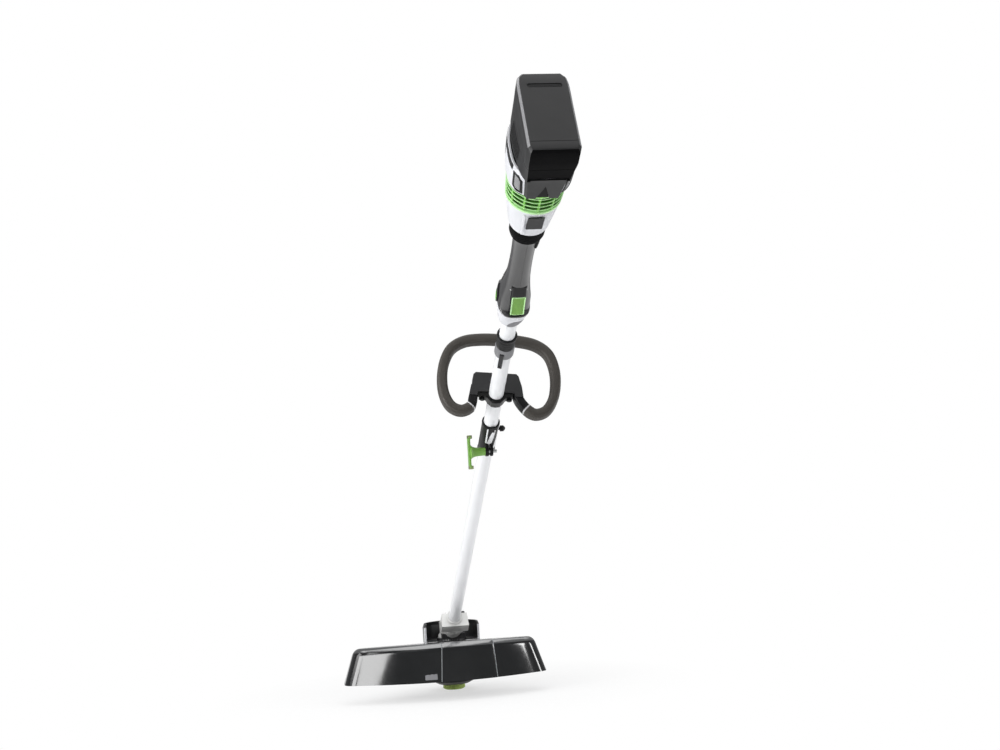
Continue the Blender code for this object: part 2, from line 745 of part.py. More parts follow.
def block_loop(drop, spread, tuck):
    """One level of the raised middle of the guard, proud of its rear wall."""
    half = GUARD_BLOCK_HALF + 4.5 * spread
    front = -GUARD_HUB_R * 0.6
    line = [(GUARD_BLOCK_X - half * 0.86, front)]
    for i in range(7):
        x = GUARD_BLOCK_X + half * (-1 + i / 3)
        line.append((x, guard_rear(x, spread, tuck - GUARD_BLOCK_PROUD)))
    line.append((GUARD_BLOCK_X + half * 0.86, front))
    if drop is None:
        return [(x, y, GUARD_BOTTOM + 0.8) for x, y in line]
    low = max(drop, 0.6)
    return [(x, y, guard_top(y) - (low if y > -GUARD_HUB_R else drop - GUARD_BLOCK_RISE)) for x, y in line]


def guard_layers(inset, layers):
    """Outline loops from the top down. Each layer is (drop below the top, spread, extra inset)."""
    loops = []
    for drop, spread, tuck in layers:
        outline = guard_outline(inset + tuck, spread)
        if drop is None:
            loops.append([(x, y, GUARD_BOTTOM - (inset > 0)) for x, y in outline])
        else:
            loops.append([(x, y, guard_top(y) - drop) for x, y in outline])
    return loops


def guard_pieces(skins, head):
    shoulder = [(0, 0, 15), (0.8, 0, 9.5), (3.6, 0.02, 5), (7.7, 0.05, 1.8), (13.5, 0.1, 0), (None, 1, 0)]
    guard = piece("guard", loft(guard_layers(0, shoulder)), skins.black_plastic, head)
    join(guard, loft([block_loop(*layer) for layer in shoulder]))
    inner = loft(guard_layers(GUARD_WALL, [
        (GUARD_WALL, 0, 13), (GUARD_WALL + 1, 0, 8), (GUARD_WALL + 4, 0.02, 3), (GUARD_WALL + 10, 0.1, 0), (None, 1, 0),
    ]))
    front_y = -GUARD_REAR + GUARD_SAG + 40
    wide = GUARD_LEFT + GUARD_RIGHT
    slope = math.tan(math.radians(GUARD_SLOPE))
    opening = loft([
        [(-wide, y, GUARD_BOTTOM - 9), (wide, y, GUARD_BOTTOM - 9),
         (wide, y, guard_top(y) - GUARD_WALL - 0.2), (-wide, y, guard_top(y) - GUARD_WALL - 0.2)]
        for y in (front_y, GUARD_HUB_R + 20)
    ])
    hole = rod(GUARD_HOLE_R, guard_top(0) - 30, guard_top(0) + 30, 24)
    screw = rod(GUARD_SCREW_R + GAP, guard_top(0) - 30, guard_top(0) + 30, 12)
    screws = [shifted(screw, x=s * GUARD_SCREW_RING) for s in (-1, 1)]
    cut(guard, inner, opening, together(hole, *screws))
    flat = box(-CASE_BASE_R - 1, CASE_BASE_R + 1, -CASE_BASE_R - 1, CASE_BASE_R + 1, guard_top(0), guard_top(0) + 20)
    cut(guard, flat)

    low = guard_top(0) - GUARD_WALL - slope * GUARD_SCREW_RING - 2 * GAP
    screw = revolve([(0, low - 3), (5, low - 3), (5, low), (GUARD_SCREW_R, low), (GUARD_SCREW_R, guard_top(0) + 5),
                     (0, guard_top(0) + 5)], 12)
    for name, side in (("guard_screw_left", -1), ("guard_screw_right", 1)):
        piece(name, shifted(screw, x=side * GUARD_SCREW_RING), skins.steel, head)

    base_top = AXIS_HEIGHT - CASE_BASE_DROP - GAP
    base_low = base_top - CASE_BASE_T
    arc = [math.radians(-14 + 208 * i / 20) for i in range(21)]
    outer = [(BRACKET_R * math.cos(a), BRACKET_R * math.sin(a)) for a in arc]
    inner_r = BRACKET_R - BRACKET_WALL
    inside = [(inner_r * math.cos(a), inner_r * math.sin(a)) for a in reversed(arc)]
    wall = loft([
        [(x, y, base_low + 0.7) for x, y in outer + inside],
        [(x, y, base_low + BRACKET_HEIGHT * 0.8) for x, y in outer + inside],
        [(x * 0.95, y * 0.95, base_low + BRACKET_HEIGHT) for x, y in outer + inside],
    ])
    bracket = piece("guard_bracket", pipe(CASE_BASE_R, OUTPUT_R + GAP, base_low, base_top), skins.black_plastic, head)
    plate_arc = [math.radians(-8 + 196 * i / 20) for i in range(21)]
    plate = [((BRACKET_R - 2) * math.cos(a), (BRACKET_R - 2) * math.sin(a)) for a in plate_arc]
    plate += [((CASE_BASE_R - 7) * math.cos(a), (CASE_BASE_R - 7) * math.sin(a)) for a in reversed(plate_arc)]
    join(bracket, wall, prism(plate, base_low + 0.4, base_low + 3.4))
    cut(bracket, *[
        shifted(turned(rod(GUARD_SCREW_R + GAP, base_low - 1, base_low + 6, 12), 10, "Z"), x=s * GUARD_SCREW_RING)
        for s in (-1, 1)
    ])

    x0 = CUTTER_X
    wall_y = guard_rear(x0, 0.65, GUARD_WALL)
    blade = [(-CUTTER_LENGTH / 2, 0), (CUTTER_LENGTH / 2, 0), (CUTTER_LENGTH / 2, 9), (0, 13), (-CUTTER_LENGTH / 2, 9)]
    plate = prism(blade, GUARD_BOTTOM + 4, GUARD_BOTTOM + 5.5)
    tang = box(-CUTTER_LENGTH / 2, CUTTER_LENGTH / 2, 0, 1.5, GUARD_BOTTOM + 4, GUARD_BOTTOM + 26)
    lean = math.degrees(math.atan(2 * GUARD_SAG * (x0 - (GUARD_RIGHT - GUARD_LEFT) / 2)
                                  / ((GUARD_RIGHT + GUARD_LEFT) / 2) ** 2))
    cutter = piece("line_cutter", shifted(turned(plate, lean, "Z"), x=x0, y=wall_y + CUTTER_SEAT), skins.steel, head)
    join(cutter, shifted(turned(tang, lean, "Z"), x=x0, y=wall_y + CUTTER_SEAT))


# The bump head: housing, cover, spool with its wound line, knob and spring


def bump_head(skins, head):
    wall = SPOOL_WALL
    r = SPOOL_CASE_R
    hole = KNOB_R + 2.5
    piece("spool_cover", revolve([
        (hole, COVER_BOTTOM), (r - 21, COVER_BOTTOM + 0.5), (r - 8, COVER_BOTTOM + 7), (r - 2, COVER_BOTTOM + 15),
        (r, COVER_BOTTOM + 22), (r, COVER_SPLIT), (r - wall, COVER_SPLIT), (r - wall, COVER_BOTTOM + 23),
        (r - 4.4, COVER_BOTTOM + 16.5), (r - 10, COVER_BOTTOM + 9.4), (r - 22, COVER_BOTTOM + 3), (hole, COVER_BOTTOM + 2.6),
    ], 24), skins.black_plastic, head)
    low = COVER_SPLIT + GAP
    roof = SPOOL_ROOF
    hub_low = SPOOL_BOTTOM + 10
    neck_r = OUTPUT_R + 8
    neck_top = guard_top(0) - GUARD_WALL + 1
    shell = piece("spool_housing", revolve([
        (0, hub_low), (HEAD_HUB_R, hub_low), (HEAD_HUB_R, roof - 7), (r - 20, roof - 8.5), (r - 7.5, roof - 12),
        (r - wall, roof - 21), (r - wall, low), (r, low), (r, roof - 20), (r - 5, roof - 10), (r - 18, roof - 4),
        (neck_r + 3, roof), (neck_r, roof + 2), (neck_r, neck_top), (OUTPUT_R + GAP, neck_top),
        (OUTPUT_R + GAP, roof - 16.5), (0, roof - 16.5),
    ], 24), skins.black_plastic, head)
    bush_hole = turned(rod(EYELET_R + GAP, r - 12, r + 5, 16), 90, "Y")
    cut(shell, together(*[turned(shifted(bush_hole, z=EYELET_HEIGHT), 180 * i, "Z") for i in range(2)]))
    eyelet = revolve([(EYELET_R, r - wall - 3), (EYELET_R, r + 0.5), (EYELET_R + 1.6, r + 0.8), (EYELET_R + 1.6, r + 2.6),
                      (LINE_R + RUNNING, r + 2.6), (LINE_R + RUNNING, r - wall - 3)], 16)
    eyelet = turned(eyelet, 90, "Y")
    for name, angle in (("eyelet_right", 0), ("eyelet_left", 180)):
        piece(name, turned(shifted(eyelet, z=EYELET_HEIGHT), angle, "Z"), skins.steel, head)

    inside_r = (SPOOL_R + r - wall) / 2
    free = [Vector((SWATH_R + (r - 4 - SWATH_R) * i / 5, 0, EYELET_HEIGHT - 6 * (1 - i / 5) ** 2)) for i in range(6)]
    lead = [Vector((r - 7, 1.0, EYELET_HEIGHT))]
    steps = 16
    lay = []
    for i in range(2, steps - 1):
        angle = math.pi * i / steps
        lay.append(Vector((inside_r * math.cos(angle), inside_r * math.sin(angle), EYELET_HEIGHT)))
    far = [Vector((-p.x, p.y, p.z)) for p in reversed(free + lead)]
    piece("cutting_line", wire(free + lead + lay + far, LINE_R, 6), skins.line, head, 60)

    top = SPOOL_BOTTOM + SPOOL_HEIGHT
    bore = HEAD_HUB_R + 1.0
    piece("line_spool", revolve([
        (bore, SPOOL_BOTTOM), (SPOOL_R - 1, SPOOL_BOTTOM), (SPOOL_R - 1, SPOOL_BOTTOM + SPOOL_FLANGE),
        (SPOOL_CORE_R, SPOOL_BOTTOM + SPOOL_FLANGE), (SPOOL_CORE_R, top - SPOOL_FLANGE), (SPOOL_R, top - SPOOL_FLANGE),
        (SPOOL_R, top), (bore + 6, top), (bore + 6, top - 3), (bore, top - 3),
    ], 24), skins.dark_plastic, head)
    wound_low = SPOOL_BOTTOM + SPOOL_FLANGE + GAP
    wound_high = top - SPOOL_FLANGE - GAP
    core_r = SPOOL_R - 9
    pitch = (wound_high - wound_low) / LINE_LOOPS
    profile = [(SPOOL_CORE_R + 1, wound_high), (SPOOL_CORE_R + 1, wound_low)]
    for i in range(LINE_LOOPS):
        z = wound_low + pitch * i
        profile += [(core_r, z), (core_r + LINE_R * 0.9, z + pitch * 0.5)]
    profile.append((core_r, wound_high))
    piece("line_winding", revolve(profile, 16), skins.line, head, 60)

    piece("bump_knob", revolve([
        (0, 0), (KNOB_FOOT_R, 0), (KNOB_R - 1, 1.6), (KNOB_R, 4.5), (KNOB_R, KNOB_T - 1.5), (KNOB_R - 1.5, KNOB_T),
        (KNOB_NECK_R, KNOB_T), (KNOB_NECK_R, SPOOL_BOTTOM - GAP), (HEAD_HUB_R + 1, SPOOL_BOTTOM - GAP),
        (HEAD_HUB_R + 1, SPOOL_BOTTOM - 4), (0, SPOOL_BOTTOM - 4),
    ], 24), skins.lime_plastic, head)
    low = top - 3 + SPRING_WIRE_R + GAP
    high = roof - 9.5 - SPRING_WIRE_R - GAP
    points = [
        (SPRING_R * math.cos(math.tau * i / 8), SPRING_R * math.sin(math.tau * i / 8),
         low + (high - low) * i / (8 * SPRING_TURNS))
        for i in range(8 * SPRING_TURNS + 1)
    ]
    print("least gap between turns of the knob spring, mm:", round(least_gap(points, SPRING_WIRE_R, 6), 2))
    piece("knob_spring", wire(points, SPRING_WIRE_R, 6), skins.steel, head, 60)


# The coupler: a split clamp with a wing knob across its ears and a release button


def coupler(skins, shaft):
    bore = TUBE_R + GAP
    z0, z1 = Z_COUPLER, Z_COUPLER_TOP
    body = piece("coupler_body", revolve([
        (COUPLER_R - 1.5, z0), (COUPLER_R, z0 + 2), (COUPLER_R, z0 + 56), (COUPLER_R - 1.5, z0 + 62),
        (COUPLER_R - 1.5, z1 - 30), (COUPLER_R, z1 - 24), (COUPLER_R, z1 - 3), (COUPLER_R - 2, z1), (bore, z1), (bore, z0),
    ], 24), skins.black_plastic, shaft)
    knob_z = z0 + KNOB_STATION
    ears = []
    for s in (-1, 1):
        inner_x, outer_x = s * COUPLER_SLIT / 2, s * (COUPLER_SLIT / 2 + EAR_WIDTH)
        outline = [(knob_z - EAR_LENGTH / 2, -TUBE_R - 2.5), (knob_z - EAR_LENGTH / 2 + 5, -EAR_DROP + 1),
                   (knob_z, -EAR_DROP), (knob_z + EAR_LENGTH / 2 - 5, -EAR_DROP + 1),
                   (knob_z + EAR_LENGTH / 2, -TUBE_R - 2.5)]
        ears.append(side_plate(outline, abs(outer_x - inner_x) / 2, (inner_x + outer_x) / 2))
    boss_z = z0 + BUTTON_STATION
    boss = shifted(turned(rod(BUTTON_R + 3.0, 0, COUPLER_R + 3.5, 16), 90, "Y"), z=boss_z)
    hook = side_plate([(z1 - 14, 4), (z1 - 2, 4), (z1 - 2, 9), (z1 - 5, 11), (z1 - 14, 9)], 2.0, COUPLER_R + 5)
    neck = side_plate([(z1 - 12, 4), (z1 - 6, 4), (z1 - 6, 8), (z1 - 12, 8)], 4.0, COUPLER_R + 1)
    ribs = [side_plate([(z1 - 22 + 6 * k, -COUPLER_R - 1.5), (z1 - 19 + 6 * k, -COUPLER_R - 1.5), (z1 - 19 + 6 * k, -TUBE_R - 2),
                        (z1 - 22 + 6 * k, -TUBE_R - 2)], 7) for k in range(3)]
    join(body, together(*ears), boss, neck, hook, together(*ribs))
    slit_end = z0 + COUPLER_SLIT_LENGTH
    slit = box(-COUPLER_SLIT / 2, COUPLER_SLIT / 2, -EAR_DROP - 5, -TUBE_R + 4, z0 - 5, slit_end)
    stud_hole = shifted(turned(rod(STUD_R + GAP, -20, 20, 12), 90, "Y"), y=-KNOB_DROP, z=knob_z)
    guide = shifted(turned(revolve([(0, TUBE_R - 2), (PIN_HOLE_R + GAP, TUBE_R - 2), (PIN_HOLE_R + GAP, TUBE_R + 2.4),
                                    (BUTTON_R + GAP, TUBE_R + 2.4), (BUTTON_R + GAP, 40), (0, 40)], 16), 90, "Y"), z=boss_z)
    inside = rod(bore, z0 - 1, z1 + 1, 24)
    cut(body, inside, slit, stud_hole, guide)

    tip = TUBE_R + 0.4
    shoulder = TUBE_R + 2.4 + BUTTON_TRAVEL + GAP
    outer = COUPLER_R + 3.5 + BUTTON_OUT
    button = revolve([(0, tip + BUTTON_TRAVEL * 0), (PIN_HOLE_R - 0.4, tip), (PIN_HOLE_R - 0.4, shoulder), (BUTTON_R, shoulder),
                      (BUTTON_R, outer - 4), (1.5, outer), (0, outer)], 16)
    piece("release_button", shifted(turned(button, 90, "Y"), z=boss_z), skins.black_plastic, shaft)

    span, depth = WING_SPAN / 2, WING_DEPTH / 2
    x_in, x_out = -(WING_OUT - WING_T), -WING_OUT
    wings = []
    for share, thick, deep in ((-1, 1.0, 0.85), (-0.86, 1.0, 1), (-0.8, 0.62, 1), (-0.35, 0.62, 1), (0, 0.62, 1),
                               (0.35, 0.62, 1), (0.8, 0.62, 1), (0.86, 1.0, 1), (1, 1.0, 0.85)):
        near = x_out + (x_in - x_out) * thick
        wings.append([(x_out, -depth * deep, share * span), (near, -depth * deep, share * span),
                      (near, depth * deep, share * span), (x_out, depth * deep, share * span)])
    wing = shifted(turned(loft(wings), WING_TURN, "X"), y=-KNOB_DROP, z=knob_z)
    knob = piece("clamp_knob", wing, skins.knob_plastic, shaft)
    ear_x = COUPLER_SLIT / 2 + EAR_WIDTH + GAP
    stem = revolve([(0, x_out + 1), (STEM_R + 6, x_in - 2.6), (STEM_R + 1.5, x_in + 3), (STEM_R, x_in + 12),
                    (STEM_R - 1.4, x_in + 15), (STEM_R - 1.4, -ear_x), (STUD_R, -ear_x), (STUD_R, COUPLER_SLIT / 2 + EAR_WIDTH + 5),
                    (0, COUPLER_SLIT / 2 + EAR_WIDTH + 5)], 20)
    join(knob, shifted(turned(stem, 90, "Y"), y=-KNOB_DROP, z=knob_z))


# The loop handle: a stiff frame through a soft grip, a saddle on the tube and a clamp below it


def loop_path():
    """The band's middle line, from the saddle round one lobe, the top and the other lobe back to the saddle."""
    half = [
        (35.5, 14), (38.5, -4), (47, -22), (63, -31), (81, -24), (93, -3), (97.5, 25), (95, 55), (84, 82), (62, 98),
        (32, 104), (0, 105),
    ]
    shift = [0, 0] + [LOOP_SHIFT] * (len(half) - 2)
    right = [Vector((x + move, y, 0)) for (x, y), move in zip(half, shift)]
    left = [Vector((-x + move, y, 0)) for (x, y), move in zip(half, shift)]
    return smooth_path(right + left[-2::-1], 2)


def loop_handle(skins, shaft):
    """Pieces lie in the loop's own plane: X across, Y up away from the tube, Z along the shaft."""
    path = loop_path()
    lobe = [i for i, p in enumerate(path) if p.y < -20 and abs(p.x - LOOP_SHIFT) > 44]
    first, last = lobe[0], lobe[-1]
    middle = path[first:last + 1]
    frame = empty("loop_plane", shaft, (0, 0, Z_COUPLER + LOOP_STATION), (0, 0, 0))
    tilt = Matrix.Rotation(math.radians(-LOOP_TWIST), 4, "Z") @ Matrix.Rotation(math.radians(LOOP_LEAN), 4, "X")
    core = rounded(CORE_T / 2, CORE_W / 2, 2.5, 1)
    grip_in = rounded(CORE_T / 2 + GAP, CORE_W / 2 + GAP, 2.5, 1)
    grip_out = rounded(BAND_T / 2, BAND_W / 2, 5.5, 1)
    piece("loop_grip", moved(hollow_band(middle, grip_out, grip_in), tilt), skins.soft_grip, frame, 50)

    arm = rounded(ARM_T / 2, ARM_W / 2, 4.0, 1)
    back = (middle[0] - middle[1]).normalized()
    ahead = (middle[-1] - middle[-2]).normalized()
    inside = band_loops(middle, core)
    root_a = [tuple(Vector(p) + back * ARM_OVERLAP) for p in inside[0]]
    root_b = [tuple(Vector(p) + ahead * ARM_OVERLAP) for p in inside[-1]]
    bar = loft([root_a, *inside, root_b])
    ends = band_loops(middle, arm)
    near = [tuple(Vector(p) + back * CUFF_GAP) for p in ends[0]]
    far = [tuple(Vector(p) + ahead * CUFF_GAP) for p in ends[-1]]
    arms = [loft([*band_loops(path[:first], arm), near]), loft([far, *band_loops(path[last + 1:], arm)])]
    low, high, move = SADDLE_HALF_LOW, SADDLE_HALF_TOP, SADDLE_SHIFT
    saddle_outline = [
        (move - high, SADDLE_TOP - 4), (move - high + 4, SADDLE_TOP), (move + high - 4, SADDLE_TOP),
        (move + high, SADDLE_TOP - 4), (move + low, 12), (move + low + 1, -3), (low - 8, -3),
        (low - 9.5, 1.5), (-low + 9.5, 1.5), (-low + 8, -3), (move - low - 1, -3), (move - low, 12),
    ]
    body = piece("loop_frame", moved(prism(saddle_outline, -SADDLE_W / 2, SADDLE_W / 2), tilt), skins.dark_plastic, frame)
    join(body, moved(together(bar), tilt), moved(arms[0], tilt), moved(arms[1], tilt))
    pocket = prism(rounded(SADDLE_HALF_TOP - 4, 7, 2, 1, SADDLE_SHIFT, SADDLE_TOP - 11), -SADDLE_W / 2 - 5, -SADDLE_W / 2 + 10)
    hole = rod(TUBE_R + GAP, -60, 60, 24)
    bolt_hole = turned(rod(LOOP_BOLT_R + GAP, -30, 18, 12), -90, "X")
    holes = [moved(shifted(bolt_hole, x=s * LOOP_BOLT_X), tilt) for s in (-1, 1)]
    cut(body, moved(pocket, tilt), hole, *holes)

    clamp_r = TUBE_R + CLAMP_WALL
    arc = [math.radians(180 + 180 * i / 14) for i in range(15)]
    flange = LOOP_BOLT_X + 5.5
    clamp_outline = [(-flange, 1.5 - GAP), (-flange, -5), (-clamp_r - 0.8, -5)]
    clamp_outline += [(clamp_r * math.cos(a), clamp_r * math.sin(a)) for a in arc if math.sin(a) < -0.32]
    clamp_outline += [(clamp_r + 0.8, -5), (flange, -5), (flange, 1.5 - GAP)]
    clamp = piece("loop_clamp", moved(prism(clamp_outline, -SADDLE_W / 2 + 3, SADDLE_W / 2 - 3), tilt),
                  skins.dark_plastic, frame)
    clamp_holes = [moved(shifted(bolt_hole, x=s * LOOP_BOLT_X), tilt) for s in (-1, 1)]
    cut(clamp, hole, *clamp_holes)
    bolt = revolve([(0, -5 - GAP - 4), (3.8, -5 - GAP - 4), (3.8, -5 - GAP), (LOOP_BOLT_R, -5 - GAP), (LOOP_BOLT_R, 15),
                    (0, 15)], 12)
    for name, s in (("loop_bolt_left", -1), ("loop_bolt_right", 1)):
        piece(name, moved(shifted(turned(bolt, -90, "X"), x=s * LOOP_BOLT_X), tilt), skins.steel, frame)


def strap_ring(skins, shaft):
    z0 = Z_COUPLER + STRAP_STATION
    z1 = z0 + STRAP_LENGTH
    bore = TUBE_R + GAP
    ring = piece("strap_ring", revolve([
        (STRAP_R - 1.5, z0), (STRAP_R, z0 + 3), (STRAP_R, z0 + 22), (STRAP_R - 0.8, z0 + 24), (STRAP_R - 0.8, z1 - 6),
        (STRAP_R + 0.6, z1 - 4), (STRAP_R + 0.6, z1), (bore, z1), (bore, z0),
    ], 24), skins.dark_plastic, shaft)
    tab_outline = [(z0 - TAB_LENGTH, -STRAP_R - 3.2), (z0 - TAB_LENGTH, -STRAP_R - 0.6), (z0 - 1, -STRAP_R + 0.8),
                   (z0 + 4, -STRAP_R + 1.5), (z0 + 16, -STRAP_R + 1.5), (z0 + 16, -STRAP_R - 2.2), (z0 - 2, -STRAP_R - 3.4)]
    tab = turned(side_plate(tab_outline, 3.5), -24, "Z")
    join(ring, tab)
    hole = turned(shifted(turned(rod(1.8, -STRAP_R - 6, -STRAP_R + 3, 12), -90, "X"), z=z0 - TAB_LENGTH + 5), -24, "Z")
    slot = box(-1.0, 1.0, TUBE_R - 3, STRAP_R + 5, z0 - 5, z1 + 5)
    inside = rod(bore, z0 - 30, z1 + 1, 24)
    cut(ring, inside, hole, slot)


# The rear handle: nose, split shells, trigger, lock-off and their pins


def nose_stations():
    g = Z_GRIP
    return [
        (Z_NOSE, 14.8, 14.8, 14.8, 2.0), (Z_NOSE + 5, 18, 18, 18, 2.0), (Z_NOSE + 12, 20.3, 21, 20.5, 2.2),
        (Z_NOSE + 26, 22.6, 27, 23.5, 2.6), (g - 8, 24, 31, 25.5, 2.8), (g, 24.5, 32.5, 26, 2.9),
    ]


def grip_stations():
    g = Z_GRIP + GAP
    return [
        (g, 24.5, 32.5, 26, 2.9), (g + 1.5, 24.5, 32.7, LIP_DROP - 2, 2.9), (g + 6, 24.8, 33, LIP_DROP, 2.9),
        (g + 7.8, 24.8, 33, 25.5, 2.9), (g + 30, 23.6, 31, 24.5, 2.8), (g + 50, 20.5, 26, 23.5, 2.5),
        (g + 70, 18.2, 21.5, 22, 2.2), (g + 90, 17.2, 19.2, 20.5, 2.0), (g + 125, 16.8, 18.3, 19.3, 2.0),
        (Z_COLLAR - 12, 18.2, 20, 20, 2.0), (Z_COLLAR, 20.5, 21.5, 21.5, 2.0),
    ]


def station_at(stations, z):
    """The outline's figures at a height between two stations."""
    for low, high in zip(stations, stations[1:]):
        if low[0] <= z <= high[0]:
            share = (z - low[0]) / max(high[0] - low[0], 0.001)
            return [a + (b - a) * share for a, b in zip(low, high)]
    return list(stations[-1])


def surface_y(x, station):
    """How low the outline's underside lies at a distance from its middle."""
    _, half, _, bottom, power = station
    return -bottom * (1 - min(abs(x) / half, 1) ** power) ** (1 / power)


LEVER_START = Z_GRIP - 12
LEVER_PIN = (LEVER_START + 6, 16.8)
LEVER_CORE_HALF = 20.5
LEVER_CORE_TOP = 20.3
TRIGGER_START = Z_GRIP + 12
TRIGGER_PIN = (TRIGGER_START + TRIGGER_LENGTH - 8, -TRIGGER_PIVOT_DROP)


def lever_outline(grow=0.0, swing=0.0):
    """The lock-off lever from the side, a lens with pointed ends, as (z, y). Swing adds room under its free end."""
    span = LEVER_LENGTH + 2 * grow
    upper, lower = [], []
    for i in range(9):
        share = i / 8
        z = LEVER_START - grow + span * share
        arch = math.sin(math.pi * share) ** 0.8
        upper.append((z, LEVER_MIDDLE + grow + LEVER_RISE * arch))
        if 0 < i < 8 or grow:
            lower.append((z, LEVER_MIDDLE - grow - LEVER_FALL * arch - swing * share))
    return upper + lower[::-1]


def lever_room():
    """The space above the core that the lever's bridge swings in, as (z, y)."""
    floor = LEVER_CORE_TOP - 2 * GAP
    upper = [(z, y) for z, y in lever_outline(1.2, 5.0)[:9] if y > floor]
    return [(LEVER_START - 0.6, floor), *upper, (LEVER_START + LEVER_LENGTH + 0.8, floor),
            (LEVER_START + LEVER_LENGTH + 0.8, floor - 4)]


def rear_handle(skins, shaft):
    nose = piece("nose_cone", ring_loft(nose_stations(), TUBE_R + GAP), skins.light_plastic, shaft)
    flank = LEVER_CORE_HALF - 2 * GAP
    lever_gap = together(*[side_plate(lever_outline(1.2, 5.0), 8, s * (flank + 8)) for s in (-1, 1)])
    bridge_gap = side_plate(lever_room(), 30.5)
    lug_z, lug_y = LEVER_PIN
    lug_room = box(-4.5, 4.5, lug_y - 2.6, 24, lug_z - 3.6, lug_z + 3.6)
    pivot_hole = shifted(turned(rod(CONTROL_PIN_R - 0.5 + GAP, -9, 9, 12), 90, "Y"), y=lug_y, z=lug_z)
    cut(nose, lever_gap, bridge_gap, lug_room, pivot_hole)
    z0, z1 = TRIGGER_START, TRIGGER_START + TRIGGER_LENGTH
    pocket = box(-TRIGGER_HALF - 0.8, TRIGGER_HALF + 0.8, -60, -TUBE_R - 0.5, z0 - 3.6, z1 + 1.5)
    pin_z, pin_y = TRIGGER_PIN
    pin_hole = shifted(turned(rod(CONTROL_PIN_R + GAP, -30, 30, 12), 90, "Y"), y=pin_y, z=pin_z)
    for name, side in (("handle_left", -1), ("handle_right", 1)):
        shell = piece(name, half_shell(grip_stations(), side, SHELL_WALL), skins.dark_plastic, shaft)
        cut(shell, pocket, lever_gap, bridge_gap, pin_hole)

    outline = [(z0, -24.5), (z0, -30.5), (z0 + 2.5, -33), (z0 + 12, -31.5), (z0 + 27, -29.3), (z0 + 38, -28.0),
               (z0 + 46, -25.0), (z1, -21.0), (z1, -14.5), (z0 + 38, -16.3), (z0 + 30, -18.5), (z0 + 14, -22.5)]
    trigger = piece("trigger", bevelled_plate(outline, TRIGGER_HALF, 2.0), skins.green_plastic, shaft)
    reach = 13.5
    join(trigger, shifted(turned(rod(CONTROL_PIN_R, -reach, reach, 12), 90, "Y"), y=pin_y, z=pin_z))
    hump = [*nose_stations(), *[s for s in grip_stations() if s[3] < 27]]
    over = []
    for z in (LEVER_START - 4, Z_GRIP - 8, Z_GRIP, Z_GRIP + 14, Z_GRIP + 30, LEVER_START + LEVER_LENGTH + 4):
        z, half, top, bottom, power = station_at(hump, z)
        over.append(oval(z, half + 1.6, top + 4.0, bottom, power))
    lever = piece("lock_off_lever", loft(over), skins.green_plastic, shaft)
    trim(lever, side_plate(lever_outline(), 40))
    core = LEVER_CORE_HALF
    cut(lever, box(-core, core, -45, LEVER_CORE_TOP, LEVER_START - 6, LEVER_START + LEVER_LENGTH + 6))
    lug = box(-4, 4, lug_y - 2, 24, lug_z - 2.6, lug_z + 2.6)
    join(lever, lug, shifted(turned(rod(CONTROL_PIN_R - 0.5, -8.6, 8.6, 12), 90, "Y"), y=lug_y, z=lug_z))

    switch_z = z1 + 4
    piece("trigger_switch", box(-5, 5, -TUBE_R - 3.2, -TUBE_R - GAP, switch_z, switch_z + 20), skins.black_plastic, shaft)
    piece("grip_collar", revolve([
        (23.0, Z_COLLAR + GAP), (25.5, Z_COLLAR + 6), (27.0, Z_CONE - GAP), (TUBE_R + GAP, Z_CONE - GAP),
        (TUBE_R + GAP, Z_COLLAR + GAP),
    ], 24), skins.black_plastic, shaft)


# The powerhead: split housing, louvred ring, vents, motor, fan, board and battery dock


def housing_stations():
    r = MOTOR_BORE_R + SHELL_WALL
    return [
        (Z_CONE, 27.5, 27.5, 27.5, 2.0), (Z_CONE + 5, 30, 30, 30.5, 2.0), (Z_RING - 18, 36.5, 37, 36.5, 2.0),
        (Z_RING - 1, 38.5, 39.5, 38.5, 2.0), (Z_RING, r, r, r, 2.0), (Z_BODY, r, r, r, 2.0), (Z_BODY + 1, 44, 48, 45.5, 2.5),
        (Z_BODY + 12, 45.5, 53, 47.5, 2.7), (Z_DOCK - 14, 46, 60, 52, 2.8), (Z_DOCK, 45.5, 62, 55, 2.8),
    ]


RIB_FRONT = Z_RING + 3
RIB_REAR = RIB_FRONT + PLATE_T + STATOR_LENGTH + 5


def bearing_rib(side, z):
    """A moulded half disc that seats half of a motor bearing."""
    seat = DRIVE_R + BEARING_WALL + GAP
    outline = []
    for i in range(17):
        angle = math.pi * (i / 16 - 0.5)
        outline.append((side * max((MOTOR_BORE_R + 1) * math.cos(angle), GAP / 2), (MOTOR_BORE_R + 1) * math.sin(angle)))
    for i in range(13):
        angle = math.pi * (0.5 - i / 12)
        outline.append((side * max(seat * math.cos(angle), GAP / 2), seat * math.sin(angle)))
    return prism(outline, z, z + PLATE_T)


